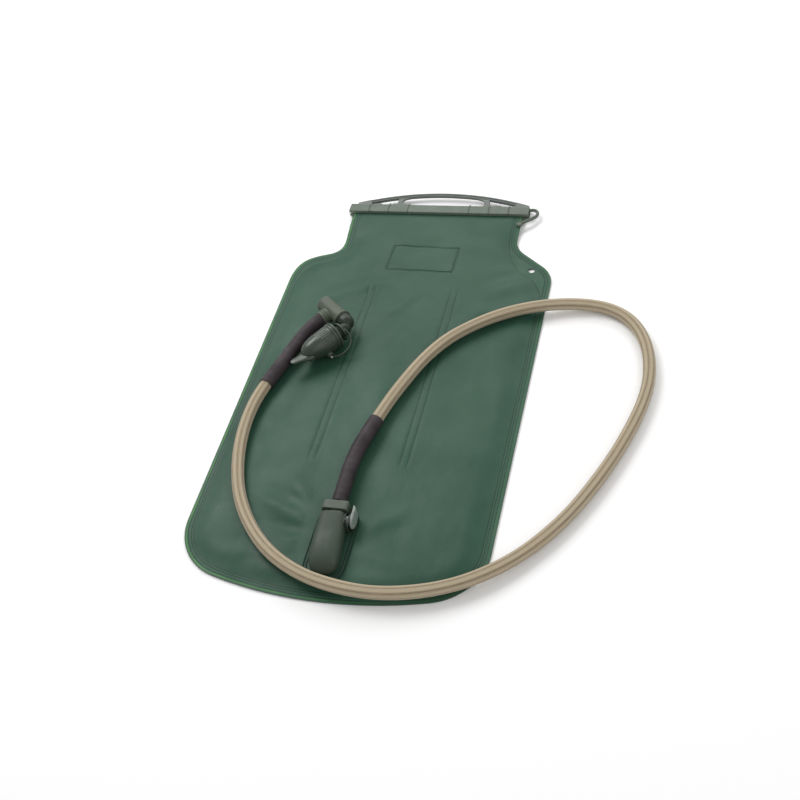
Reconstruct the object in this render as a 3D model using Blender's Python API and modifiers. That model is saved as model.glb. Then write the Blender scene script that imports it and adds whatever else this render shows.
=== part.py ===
"""A 3 litre hydration reservoir, empty and lying on its back: a welded film bag with a slide-off
closure clip, a quick-release outlet, a sleeved drinking hose and a capped bite valve.

The frame's origin is under the middle of the bag. +X runs across it, +Y towards the closure and
+Z up from the surface that it lies on. Sizes below are in millimetres.
"""

import math

import bmesh
import bpy
from mathutils import Matrix, Vector

MM = 0.001
GAP = 0.3  # between pieces that touch

# ---- Bag ---------------------------------------------------------------------------------------
HALF_LENGTH = 224.0  # the bag's bottom and the handle's top
HALF_WIDTH = 120.0
NECK_HALF_WIDTH = 81.5
NECK_BASE_Y = 167.0
NECK_FILLET = 22.0
SHOULDER_Y = 112.0
SHOULDER_RADIUS = 28.0
CORNER_RADIUS = 48.0
BOTTOM_RADIUS = 340.0
FILM = 0.45
FILM_RINGS = ((0.0, 0.0), (7.0, 0.0), (14.0, 1.3), (24.0, 2.4))  # inset from its edge, and height
FILM_TOP = FILM + GAP + FILM_RINGS[-1][1] + FILM
LIFT_START_Y, LIFT_END_Y = 150.0, 190.0  # where the mouth climbs to the closure
BAFFLE_X = 37.0
BAFFLE_LOW_Y, BAFFLE_HIGH_Y = -100.0, 97.0
EYELET = (100.5, 128.0)
EYELET_RADIUS = 3.3

# ---- Closure -----------------------------------------------------------------------------------
CLIP_X = 0.3
CLIP_HALF_LENGTH = 86.7
CLIP_FRONT_Y, CLIP_BACK_Y = 194.4, 205.4
CLIP_LOW_Z, CLIP_HIGH_Z = 0.2, 7.8
CLIP_WALL = 1.4
CLOSURE_Z = (CLIP_LOW_Z + CLIP_HIGH_Z) / 2
SLOT_HALF = 1.0
CHANNEL_HALF = 2.4
RAIL_FRONT_Y, RAIL_BACK_Y = 198.4, 202.3
ARCH_X = 3.0
ARCH_HALF_SPAN = 83.0
ARCH_END_Y = 208.0
ARCH_BAND = 3.8
ARCH_DEPTH = 5.4
WEB_DEPTH = 3.0
WINDOW_HALF = 40.0
SIDE_WINDOW = (46.0, 64.0)
SHELF = 3.4  # behind the bar, beside the hand hole
GUSSETS = (29.4, 48.4, 67.2)
GUSSET_THICKNESS = 1.4

# ---- Outlet ------------------------------------------------------------------------------------
PORT_Y = -188.0
PLUG_Z = 12.5
PATCH_X = -0.4
PATCH_HALF_WIDTH = 15.4
PATCH_LOW_Y, PATCH_HIGH_Y = -212.0, -142.0
PATCH_DEPTH = 0.6
PATCH_TOP = FILM_TOP + GAP + PATCH_DEPTH
HOUSING_BASE = PATCH_TOP + GAP
HOUSING_SQUASH = 0.8
HOUSING_TURN = math.radians(5.0)
HOUSING_X = 1.2
SPIGOT_RADIUS = 6.0
WATERWAY = 3.8
CHAMBER = 4.4
SOCKET_RADIUS = 5.2
SEPTUM_HOLE = 2.8
COLLAR_HALF_WIDTH = 10.3
COLLAR_Y = 36.7  # from the port, like the latch
LATCH_Y = 28.0
LATCH_THICKNESS = 1.6
LATCH_HOLE = 5.1
LATCH_OFFSET = 1.4  # what the button pushes it by, to let the plug out

# ---- Hose and bite valve -----------------------------------------------------------------------
TUBE_BORE, TUBE_RADIUS = 3.4, 4.3
BARB_RADIUS = 2.9
SLEEVE_BORE, SLEEVE_RADIUS = 4.6, 5.0
CUFF_BORE, CUFF_RADIUS = 5.3, 6.0
HOSE_STEP = 17.0  # between points of the hose's line
OUTLET_CUFF_LENGTH = 84.0
VALVE_CUFF_LENGTH = 84.0
SLEEVE_END = 8.0  # the tube is bare for this far at each end, inside its cuff
VALVE_Z = 16.4
VALVE_ANGLE = math.radians(-39.0)
VALVE_END = (-70.9, 59.4)  # the barrel's closed end
HOSE_ENTRY = 15.0  # along the barrel from its closed end
BARREL_LENGTH = 29.0
NOZZLE = 40.0
BARREL_RADIUS = 7.3
CORE_RADIUS = 4.3

# The hose's route, as a loop laid over the bag and the surface beside it.
HOSE_ROUTE = (
    (0.0, -146.4, 12.5), (0.0, -130.0, 12.5), (-0.3, -112.0, 12.8), (1.2, -92.0, 12.6),
    (6.3, -70.0, 12.0), (12.9, -42.0, 11.0), (20.8, -18.0, 10.4), (30.1, 6.0, 9.9),
    (44.4, 30.5, 9.4), (60.5, 47.0, 9.2), (80.8, 62.0, 9.2), (104.6, 73.5, 9.2),
    (124.0, 80.0, 8.4), (145.0, 84.0, 6.9), (166.2, 84.3, 5.7), (183.0, 78.5, 5.3),
    (197.0, 66.0, 5.3), (207.0, 48.0, 5.3), (212.6, 27.0, 5.3), (214.5, 5.0, 5.3),
    (212.3, -16.0, 5.3), (207.0, -40.0, 5.3), (197.0, -71.5, 5.3), (184.5, -102.0, 5.3),
    (169.5, -131.5, 5.3), (151.5, -157.5, 5.6), (131.0, -179.5, 6.6), (105.0, -198.5, 8.2),
    (76.0, -210.5, 9.2), (46.0, -216.2, 9.8), (17.0, -215.3, 10.2), (-13.0, -208.4, 10.2),
    (-41.0, -193.7, 9.6), (-63.0, -173.5, 9.0), (-81.0, -148.0, 9.0), (-93.0, -119.0, 9.0),
    (-100.0, -89.0, 9.0), (-101.4, -61.0, 9.3), (-99.4, -44.0, 9.8), (-95.8, -29.5, 10.0),
    (-91.2, -13.8, 10.4), (-85.4, 3.0, 11.8), (-80.8, 14.5, 13.8), (-76.4, 25.6, 15.8),
    (-71.89, 34.34, 16.4), (-63.9, 44.21, 16.4),
)


# ---- Materials and helpers ---------------------------------------------------------------------
def plain(name, colour, roughness=0.5, metallic=0.0, alpha=1.0):
    material = bpy.data.materials.new(name)
    material.use_nodes = True
    shader = material.node_tree.nodes["Principled BSDF"]
    shader.inputs["Base Color"].default_value = (*colour, 1.0)
    shader.inputs["Roughness"].default_value = roughness
    shader.inputs["Metallic"].default_value = metallic
    shader.inputs["Alpha"].default_value = alpha
    return material


def collection(name, hidden=False):
    made = bpy.data.collections.new(name)
    made.hide_render = hidden
    bpy.context.scene.collection.children.link(made)
    return made


def add(name, data, material=None):
    """A new object in the reservoir's collection."""
    obj = bpy.data.objects.new(name, data)
    PARTS.objects.link(obj)
    if material:
        data.materials.append(material)
    return obj


def as_cutter(obj):
    obj.hide_render = True
    obj.display_type = "WIRE"
    PARTS.objects.unlink(obj)
    CUTTERS.objects.link(obj)
    return obj


def combine(obj, other, operation):
    """A Boolean with a mesh, which becomes a helper."""
    modifier = obj.modifiers.new(f"{operation.lower()}_{other.name}", "BOOLEAN")
    modifier.operation = operation
    modifier.object = other
    if not other.hide_render:
        as_cutter(other)
    return obj


def cut(obj, *others):
    for other in others:
        combine(obj, other, "DIFFERENCE")
    return obj


def join(obj, *others):
    for other in others:
        combine(obj, other, "UNION")
    return obj


def as_mesh(obj):
    """The same shape as a closed mesh, for a curve that is to be cut or joined."""
    bpy.context.view_layer.update()
    graph = bpy.context.evaluated_depsgraph_get()
    mesh = bpy.data.meshes.new_from_object(obj.evaluated_get(graph))
    bm = bmesh.new()
    bm.from_mesh(mesh)
    bmesh.ops.remove_doubles(bm, verts=bm.verts, dist=1e-6)
    bmesh.ops.recalc_face_normals(bm, faces=bm.faces)
    bm.to_mesh(mesh)
    bm.free()
    name, matrix = obj.name, obj.matrix_world.copy()
    bpy.data.objects.remove(obj)
    made = add(name, mesh)
    made.matrix_world = matrix
    return made


def frame(origin, x_axis, z_axis):
    """A placing whose local X and Z point along the two given directions."""
    z = Vector(z_axis).normalized()
    y = z.cross(Vector(x_axis)).normalized()
    x = y.cross(z)
    rotation = Matrix((x, y, z)).transposed().to_4x4()
    return Matrix.Translation(Vector(origin) * MM) @ rotation


def twisted(placing, degrees=3.7):
    """The same placing turned about its own Z, so that a cutter's edges miss the target's."""
    return placing @ Matrix.Rotation(math.radians(degrees), 4, "Z")


def smooth(obj, angle=35.0):
    obj.data.shade_smooth()
    obj.data.set_sharp_from_angle(angle=math.radians(angle))


def turned(name, profile, placing, material=None, steps=32):
    """A body of revolution about local Z. The profile's (radius, height) points run down its outer
    side; one that starts off the axis is closed into a ring."""
    mesh = bpy.data.meshes.new(name)
    points = [(radius * MM, 0.0, height * MM) for radius, height in profile]
    edges = [(i, i + 1) for i in range(len(points) - 1)]
    if profile[0][0] > 0:
        edges.append((len(points) - 1, 0))
    mesh.from_pydata(points, edges, [])
    obj = add(name, mesh, material)
    screw = obj.modifiers.new("turn", "SCREW")
    screw.steps = screw.render_steps = steps
    screw.use_merge_vertices = True
    screw.merge_threshold = 1e-6
    screw.use_smooth_shade = True
    obj.matrix_world = placing
    return obj


def rod(name, radius, low, high, placing, material=None, steps=32):
    profile = ((0, high), (radius, high), (radius, low), (0, low))
    return turned(name, profile, placing, material, steps)


def plate(name, outlines, thickness, placing, material=None):
    """A flat plate from one or more closed outlines in local X and Y; inner ones are holes. Its
    thickness straddles the local plane."""
    data = bpy.data.curves.new(name, "CURVE")
    data.dimensions = "2D"
    data.fill_mode = "BOTH"
    data.extrude = thickness / 2 * MM
    for outline in outlines:
        spline = data.splines.new("POLY")
        spline.points.add(len(outline) - 1)
        for point, (x, y) in zip(spline.points, outline):
            point.co = (x * MM, y * MM, 0.0, 1.0)
        spline.use_cyclic_u = True
    obj = add(name, data, material)
    obj.matrix_world = placing
    return obj


def box(name, low, high, placing=None, material=None):
    """A rectangular block between two corners."""
    bm = bmesh.new()
    bmesh.ops.create_cube(bm, size=1.0)
    size = [(b - a) * MM for a, b in zip(low, high)]
    centre = [(a + b) / 2 * MM for a, b in zip(low, high)]
    bmesh.ops.scale(bm, vec=size, verts=bm.verts)
    bmesh.ops.translate(bm, vec=centre, verts=bm.verts)
    mesh = bpy.data.meshes.new(name)
    bm.to_mesh(mesh)
    bm.free()
    obj = add(name, mesh, material)
    obj.matrix_world = placing or Matrix.Identity(4)
    return obj


def arc(centre, radius, start, end, points):
    """Points on an arc, from start to end degrees."""
    step = (end - start) / (points - 1)
    angles = [math.radians(start + step * i) for i in range(points)]
    return [(centre[0] + radius * math.cos(a), centre[1] + radius * math.sin(a)) for a in angles]


def stadium(half_width, low, high, points=12):
    """A rounded-end slot shape along local Y."""
    top = arc((0, high - half_width), half_width, 0, 180, points)
    return top + arc((0, low + half_width), half_width, 180, 360, points)


def smooth_line(points, step):
    """Points about a step apart on a Catmull-Rom curve through the given ones."""
    knots = [Vector(p) for p in points]
    knots = [2 * knots[0] - knots[1], *knots, 2 * knots[-1] - knots[-2]]
    fine = []
    for a, b, c, d in zip(knots, knots[1:], knots[2:], knots[3:]):
        for i in range(12):
            t = i / 12
            square = (2 * a - 5 * b + 4 * c - d) * t**2
            fine.append((2 * b + (c - a) * t + square + (3 * b - a - 3 * c + d) * t**3) / 2)
    fine.append(knots[-2])
    along = [0.0]
    for a, b in zip(fine, fine[1:]):
        along.append(along[-1] + (b - a).length)
    count = round(along[-1] / step)
    line, j = [], 0
    for i in range(count + 1):
        want = along[-1] * i / count
        while j < len(fine) - 2 and along[j + 1] < want:
            j += 1
        share = (want - along[j]) / (along[j + 1] - along[j])
        line.append(fine[j].lerp(fine[j + 1], share))
    return line


def wire(name, points, radius, material=None, resolution=2, capped=True):
    """A round rod along a line of points."""
    data = bpy.data.curves.new(name, "CURVE")
    data.dimensions = "3D"
    data.bevel_depth = radius * MM
    data.bevel_resolution = resolution
    data.use_fill_caps = capped
    spline = data.splines.new("POLY")
    spline.points.add(len(points) - 1)
    for point, place in zip(spline.points, points):
        point.co = (place[0] * MM, place[1] * MM, place[2] * MM, 1.0)
    return add(name, data, material)


def hollow_hose(name, points, bore, radius, material, resolution=2):
    """A pipe along a line: its outer skin, thickened inwards."""
    obj = as_mesh(wire(name, points, radius, None, resolution, capped=False))
    obj.data.materials.append(material)
    bm = bmesh.new()
    bm.from_mesh(obj.data)
    bmesh.ops.recalc_face_normals(bm, faces=bm.faces)
    middle = sum((Vector(p) for p in points[:2]), Vector()) / 2 * MM
    face = min(bm.faces, key=lambda f: (f.calc_center_median() - middle).length)
    if face.normal.dot(face.calc_center_median() - middle) < 0:
        bmesh.ops.reverse_faces(bm, faces=bm.faces)
    bm.to_mesh(obj.data)
    bm.free()
    wall = obj.modifiers.new("wall", "SOLIDIFY")
    wall.thickness = (radius - bore) * MM
    wall.offset = -1.0
    obj.data.shade_smooth()
    return obj


def spring(name, radius, low, high, turns, placing, wire_radius=0.35, sides=10):
    """A coil about local Z between two heights."""
    count = turns * sides
    points = []
    for i in range(count + 1):
        angle = 2 * math.pi * i / sides
        height = low + wire_radius + (high - low - 2 * wire_radius) * i / count
        points.append((radius * math.cos(angle), radius * math.sin(angle), height))
    obj = wire(name, points, wire_radius, STEEL)
    obj.matrix_world = placing
    return obj


def seal(name, middle, thickness, placing):
    """An O-ring about local Z."""
    bpy.ops.mesh.primitive_torus_add(
        major_radius=middle * MM, minor_radius=thickness * MM, major_segments=24, minor_segments=8
    )
    obj = bpy.context.object
    obj.name = name
    for owner in list(obj.users_collection):
        owner.objects.unlink(obj)
    PARTS.objects.link(obj)
    obj.data.materials.append(RUBBER)
    obj.data.shade_smooth()
    obj.matrix_world = placing
    return obj


# ---- Bag ---------------------------------------------------------------------------------------
def bag_outline(inset=0.0):
    """The welded film's edge, or a line inset from it, counter-clockwise from the mouth's right."""
    neck_radius, shoulder_radius = NECK_FILLET + inset, SHOULDER_RADIUS - inset
    fillet = Vector((NECK_HALF_WIDTH + NECK_FILLET, NECK_BASE_Y))
    shoulder = Vector((HALF_WIDTH - SHOULDER_RADIUS, SHOULDER_Y))
    between = shoulder - fillet
    lean = math.acos((neck_radius + shoulder_radius) / between.length)
    turn = math.degrees(math.atan2(between.y, between.x) - lean) % 360
    centre_y = -HALF_LENGTH + BOTTOM_RADIUS
    corner_x = HALF_WIDTH - CORNER_RADIUS
    reach = BOTTOM_RADIUS - CORNER_RADIUS
    corner_y = centre_y - math.sqrt(reach**2 - corner_x**2)
    swing = math.degrees(math.asin(corner_x / reach))
    neck_x = NECK_HALF_WIDTH - inset
    right = [(neck_x - 0.5, RAIL_BACK_Y - inset / 2), (neck_x, LIFT_END_Y - inset / 2)]
    right += arc(fillet, neck_radius, 180, turn, 8)
    right += arc(shoulder, shoulder_radius, turn - 180, 0, 8)
    right += arc((corner_x, corner_y), CORNER_RADIUS - inset, 0, swing - 90, 10)
    right += arc((0, centre_y), BOTTOM_RADIUS - inset, swing - 90, -90, 6)[1:]
    left = [(-x, y) for x, y in reversed(right[:-1])]
    return right + left


def neck_share(y):
    """From 0 in the bag to 1 at the closure, where the films lie flat together."""
    share = min(1.0, max(0.0, (y - LIFT_START_Y) / (LIFT_END_Y - LIFT_START_Y)))
    return share * share * (3 - 2 * share)


def film(name, height, rings):
    """A sheet of film: its edge, then rings inset from it, each at its own height."""
    bm = bmesh.new()
    before = None
    for inset, rise in rings:
        verts = [bm.verts.new((x * MM, y * MM, rise * MM)) for x, y in bag_outline(inset)]
        edges = [bm.edges.new((verts[i - 1], verts[i])) for i in range(len(verts))]
        if before:
            bmesh.ops.bridge_loops(bm, edges=before + edges)
        before = edges
    bm.faces.new(verts)
    bmesh.ops.recalc_face_normals(bm, faces=bm.faces)
    if verts[0].link_faces[0].normal.z < 0:
        bmesh.ops.reverse_faces(bm, faces=bm.faces)
    for y in (146, 154, 161, 167, 173, 180, 186):
        bmesh.ops.bisect_plane(
            bm, geom=bm.verts[:] + bm.edges[:] + bm.faces[:], dist=1e-5,
            plane_co=(0, y * MM, 0), plane_no=(0, 1, 0),
        )
    for vert in bm.verts:
        share = neck_share(vert.co.y / MM)
        lift = share * (CLOSURE_Z - GAP / 2 - FILM)
        vert.co.z = vert.co.z * (1 - share) + (height + lift) * MM
    mesh = bpy.data.meshes.new(name)
    bm.to_mesh(mesh)
    bm.free()
    obj = add(name, mesh, FILM_GREEN)
    sheet = obj.modifiers.new("film", "SOLIDIFY")
    sheet.thickness = FILM * MM
    sheet.offset = 1.0
    return obj


def make_bag():
    front = film("front_film", FILM + GAP, FILM_RINGS)
    back = film("back_film", 0.0, FILM_RINGS[:1])
    up = frame((*EYELET, 0), (1, 0, 0), (0, 0, 1))
    port = frame((0, PORT_Y, 0), (1, 0, 0), (0, 0, 1))
    cut(front, rod("film_port_hole", SPIGOT_RADIUS + 0.4, 0.7, 9, port))
    for sheet in (front, back):
        cut(sheet, rod(f"{sheet.name}_eyelet", EYELET_RADIUS, -2, 9, up, steps=24))
    for name, side in (("front_rail", 1), ("back_rail", -1)):
        middle_z = CLOSURE_Z + side * (GAP / 2 + FILM + GAP + 0.6)
        low = (-NECK_HALF_WIDTH + 0.5, RAIL_FRONT_Y, middle_z - 0.6)
        rail = box(name, low, (NECK_HALF_WIDTH - 0.5, RAIL_BACK_Y, middle_z + 0.6), None, CLIP_GREY)
        edge = rail.modifiers.new("edge", "BEVEL")
        edge.width = 0.3 * MM

    for name, x in (("baffle_left", -BAFFLE_X), ("baffle_right", BAFFLE_X)):
        low, high = FILM + GAP, FILM_TOP - FILM - 2.2 * GAP
        section = [
            (-4, low), (4, low), (4, low + 0.5), (0.3, low + 0.5), (0.3, high - 0.5),
            (4, high - 0.5), (4, high), (-4, high), (-4, high - 0.5), (-0.3, high - 0.5),
            (-0.3, low + 0.5), (-4, low + 0.5),
        ]
        middle = (BAFFLE_LOW_Y + BAFFLE_HIGH_Y) / 2
        across = frame((x, middle, 0), (1, 0, 0), (0, 1, 0))
        section = [(a, -b) for a, b in section]
        plate(name, [section], BAFFLE_HIGH_Y - BAFFLE_LOW_Y, across, FILM_GREEN)


# ---- Closure clip ------------------------------------------------------------------------------
def channel_section():
    """The clip's C-shaped section, in Y and Z: closed behind, with a slot in front for the films."""
    y0, y1, z0, z1 = CLIP_FRONT_Y, CLIP_BACK_Y, CLIP_LOW_Z, CLIP_HIGH_Z
    inner0, inner1, mid, chamfer = y0 + CLIP_WALL, y1 - CLIP_WALL, CLOSURE_Z, 1.0
    return [
        (y0, mid + SLOT_HALF), (y0, z1 - chamfer), (y0 + chamfer, z1), (y1 - chamfer, z1),
        (y1, z1 - chamfer), (y1, z0 + chamfer), (y1 - chamfer, z0), (y0 + chamfer, z0),
        (y0, z0 + chamfer), (y0, mid - SLOT_HALF), (inner0, mid - SLOT_HALF),
        (inner0, mid - CHANNEL_HALF), (inner1, mid - CHANNEL_HALF), (inner1, mid + CHANNEL_HALF),
        (inner0, mid + CHANNEL_HALF), (inner0, mid + SLOT_HALF),
    ]


def arch_y(x, inset=0.0):
    """The handle's edge: a shallow arc over its span, or a line inset from it."""
    rise = HALF_LENGTH - ARCH_END_Y
    radius = (ARCH_HALF_SPAN**2 + rise**2) / (2 * rise)
    return HALF_LENGTH - radius + math.sqrt((radius - inset) ** 2 - x**2)


def under_arch(x0, x1, low, inset, points=11):
    """An outline under the arch between two places, flat below."""
    xs = [x0 + (x1 - x0) * i / (points - 1) for i in range(points)]
    return [(x1, low), *[(x, arch_y(x, inset)) for x in reversed(xs)], (x0, low)]


def rounded_window(half, low, inset):
    """The hand hole: round at its ends, and following the arch above."""
    radius = (arch_y(half, inset) - low) / 2
    ends = half - radius
    top = [(ends * (1 - i / 6), arch_y(ends * (1 - i / 6), inset)) for i in range(1, 12)]
    right = arc((ends, low + radius), radius, -90, 80, 7)
    left = arc((-ends, low + radius), radius, 100, 270, 7)
    return right + top + left


def make_clip():
    along = frame((CLIP_X, 0, 0), (0, 1, 0), (1, 0, 0))
    clip = as_mesh(plate("slide_clip", [channel_section()], 2 * CLIP_HALF_LENGTH, along))
    clip.data.materials.append(CLIP_GREY)
    flat = frame((ARCH_X, 0, CLOSURE_Z + 0.4), (1, 0, 0), (0, 0, 1))
    foot = CLIP_BACK_Y - 0.6
    span = ARCH_HALF_SPAN
    band = [
        under_arch(-span, span, foot, 0.0, 25),
        under_arch(-span + 12, span - 12, foot + 1.0, ARCH_BAND, 21),
    ]
    web = [under_arch(-span + 7, span - 7, foot, ARCH_BAND - 1.0, 25)]
    web.append(rounded_window(WINDOW_HALF, foot + 1.0, ARCH_BAND))
    for side in (-1, 1):
        ends = sorted(side * x for x in SIDE_WINDOW)
        web.append(under_arch(*ends, foot + SHELF, ARCH_BAND + 0.3, 5))
    rim = as_mesh(plate("handle_rim", [band[0], band[1]], ARCH_DEPTH, flat))
    panel = as_mesh(plate("handle_web", web, WEB_DEPTH, flat))
    join(clip, rim, panel)
    for index, x in enumerate(sorted(side * g for side in (-1, 1) for g in GUSSETS)):
        low = (x - GUSSET_THICKNESS / 2, foot, -2.4)
        high = (x + GUSSET_THICKNESS / 2, foot + 2.4, 2.4)
        join(clip, box(f"gusset_{index}", low, high, flat @ Matrix.Translation((-2 * MM, 0, 0))))
    end = frame((CLIP_X, 0, 0), (1, 0, 0), (0, 0, 1))
    stop_x = CLIP_HALF_LENGTH
    low = (stop_x - 1.2, CLIP_FRONT_Y + 1, CLIP_LOW_Z + 1)
    high = (stop_x - 0.2, CLIP_BACK_Y - 1, CLIP_HIGH_Z - 1)
    join(clip, box("end_wall", low, high, end))


def make_leash():
    """The strap that keeps the clip with the bag, and the stud that holds its end."""
    start = CLIP_X + CLIP_HALF_LENGTH + GAP
    path = (
        (start + 1.6, 203.8, 5.0), (start + 5.0, 204.0, 4.8), (start + 7.6, 201.6, 4.6),
        (start + 7.4, 197.6, 4.7), (start + 4.6, 193.4, 5.2), (88.2, 189.8, 5.8),
        (85.0, 187.2, 6.0), (83.6, 186.1, 6.0),
    )
    route = [(start, 203.8, 5.0), *smooth_line(path, 2.6)]
    wire("leash", route, 1.4, CLIP_GREY, 2)
    up = frame((80.6, 183.9, 0), (1, 0, 0), (0, 0, 1))
    stud = ((0, 6.8), (2.6, 6.8), (2.9, 6.4), (2.9, 4.7), (0, 4.7))
    turned("leash_stud", stud, up, CLIP_GREY, 20)


# ---- Outlet ------------------------------------------------------------------------------------
def housing_profile():
    """Radius of the outlet's shell against distance along it, from its mouth down to its toe."""
    toe, mouth = -18.4, 31.6
    belly, start = 10.9, -4.0
    points = [(0, mouth), (9.7, mouth), (9.9, 24.0), (10.6, 12.0), (belly, start)]
    for i in range(1, 9):
        angle = math.pi / 2 * i / 9
        wide, far = math.cos(angle) ** 0.62, math.sin(angle) ** 0.8
        points.append((belly * wide, start + (toe - start) * far))
    return points + [(0, toe)]


def make_outlet():
    port = frame((0, PORT_Y, 0), (1, 0, 0), (0, 0, 1))
    patch = stadium(PATCH_HALF_WIDTH, PATCH_LOW_Y - PORT_Y, PATCH_HIGH_Y - PORT_Y)
    hole = arc((0, 0), SPIGOT_RADIUS + 0.4, 0, 348.75, 32)
    hole = [(x - PATCH_X, y) for x, y in hole]
    level = frame((PATCH_X, PORT_Y, PATCH_TOP - PATCH_DEPTH / 2), (1, 0, 0), (0, 0, 1))
    plate("port_patch", [patch, hole], PATCH_DEPTH, level, FILM_GREEN)

    # The shell lies along its own line, turned a little from the plug's.
    direction = (-math.sin(HOUSING_TURN), math.cos(HOUSING_TURN), 0)
    lying = frame((HOUSING_X, PORT_Y, PLUG_Z), (1, 0, 0), direction)
    squash = Matrix.Diagonal((1, HOUSING_SQUASH, 1, 1))
    shell = turned("outlet_housing", housing_profile(), lying, HOUSING_GREEN, 40)
    shell = as_mesh(shell)
    shell.data.materials.clear()
    shell.data.materials.append(HOUSING_GREEN)
    shell.data.transform(squash)
    smooth(shell)
    floor = box("housing_floor", (-30, PORT_Y - 40, -20), (30, PORT_Y + 60, HOUSING_BASE))
    plug_line = frame((0, PORT_Y, PLUG_Z), (1, 0, 0), (0, 1, 0))
    spigot = rod("spigot", SPIGOT_RADIUS, 0.9, PLUG_Z, port)
    cut(shell, floor)
    join(shell, spigot)
    bore = (
        (0, 60.0), (SOCKET_RADIUS, 60.0), (SOCKET_RADIUS, 13.0), (SEPTUM_HOLE, 13.0),
        (SEPTUM_HOLE, 11.5), (CHAMBER, 11.5), (CHAMBER, -5.0), (0, -5.0),
    )
    cut(
        shell,
        rod("waterway", WATERWAY, -3, PLUG_Z, twisted(port)),
        turned("plug_bore", bore, twisted(plug_line, 2.3)),
    )
    latch_line = frame((0, PORT_Y + LATCH_Y, PLUG_Z), (0, 0, 1), (0, 1, 0))
    slot = stadium(LATCH_HOLE + 2.0, -(LATCH_HOLE + 2.2), LATCH_HOLE + 3.3)
    slot_cutter = as_mesh(plate("latch_slot", [slot], LATCH_THICKNESS + 0.6, latch_line))
    across = frame((0, PORT_Y + LATCH_Y, PLUG_Z), (0, 1, 0), (1, 0, 0))
    guide_seat = as_mesh(plate("guide_seat", [guide_outline(GAP)], 12.0, offset(across, 14.5)))
    cut(
        shell,
        slot_cutter,
        rod("button_hole", 3.9, 4.0, 9.0, twisted(across), steps=24),
        guide_seat,
    )

    make_collar(plug_line)
    make_check_valve(plug_line)
    make_latch(across, latch_line)

    gasket = ((10.0, 2.85), (10.0, 2.05), (6.3, 2.05), (6.3, 2.85))
    turned("port_gasket", gasket, port, RUBBER, 24)
    backing = ((11.0, 1.75), (11.0, 0.8), (6.3, 0.8), (6.3, 1.75))
    turned("port_backing_ring", backing, port, CLIP_GREY, 24)


def offset(placing, distance):
    """The same placing, further along its own Z."""
    return placing @ Matrix.Translation((0, 0, distance * MM))


def guide_outline(clearance=0.0):
    """The button guide's outline, seen along the button's own line."""
    low, high, half = -10.2 - clearance, 3.9 + clearance, 5.9 + clearance
    outline = []
    for x, y, start in ((high, half, 0), (low, half, 90), (low, -half, 180), (high, -half, 270)):
        centre = (x - math.copysign(2, x), y - math.copysign(2, y))
        outline += arc(centre, 2.0, start, start + 90, 5)
    return outline


def make_collar(plug_line):
    """The band at the outlet's mouth that keeps the latch in."""
    outline = []
    for x in (COLLAR_HALF_WIDTH, -COLLAR_HALF_WIDTH):
        start = 0 if x > 0 else 90
        outline += arc((x - math.copysign(3.5, x), 3.7), 3.5, start, start + 90, 5)
    outline += [(-COLLAR_HALF_WIDTH, -7.4), (COLLAR_HALF_WIDTH, -7.4)]
    # Local Y points down for a frame that looks along the plug, so the outline is turned over.
    outline = [(x, -y) for x, y in outline]
    bore = arc((0, 0), 6.1, 0, 345, 24)
    middle = frame((0, PORT_Y + COLLAR_Y, PLUG_Z), (1, 0, 0), (0, 1, 0))
    plate("outlet_collar", [outline, bore], 8.0, middle, HOUSING_GREEN)


def make_check_valve(plug_line):
    """The valve that closes the outlet when the plug is out, and the plug that holds it open."""
    poppet = (
        (0, 8.2), (2.4, 8.2), (2.4, 7.9), (3.7, 7.9), (3.7, 6.6), (1.2, 6.6), (1.2, 1.0), (0, 1.0),
    )
    turned("check_poppet", poppet, plug_line, CLIP_GREY, 24)
    seal("poppet_seal", 3.1, 0.45, plug_line @ Matrix.Translation((0, 0, 8.7 * MM)))
    spring("poppet_spring", 2.4, -4.7, 6.3, 5, plug_line)
    plug = (
        (BARB_RADIUS - 0.6, 56.0), (BARB_RADIUS, 52.6), (BARB_RADIUS - 0.4, 52.4),
        (BARB_RADIUS, 49.0), (BARB_RADIUS - 0.4, 48.8), (BARB_RADIUS, 45.4),
        (BARB_RADIUS - 0.4, 45.2), (BARB_RADIUS - 0.4, 40.6), (5.7, 40.6), (5.7, 36.6), (4.85, 36.0),
        (4.85, 29.2), (3.3, 29.2), (3.3, 26.8), (4.85, 26.8), (4.85, 20.9), (3.3, 20.9),
        (3.3, 18.9), (4.85, 18.9), (4.85, 14.6), (4.2, 14.0), (2.0, 14.0), (2.0, 9.6),
        (1.2, 9.6), (1.2, 16.0), (1.9, 18.0), (1.9, 56.0),
    )
    turned("hose_plug", plug, plug_line, CLIP_GREY, 28)
    seal("plug_seal", 4.15, 0.7, plug_line @ Matrix.Translation((0, 0, 19.9 * MM)))


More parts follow.
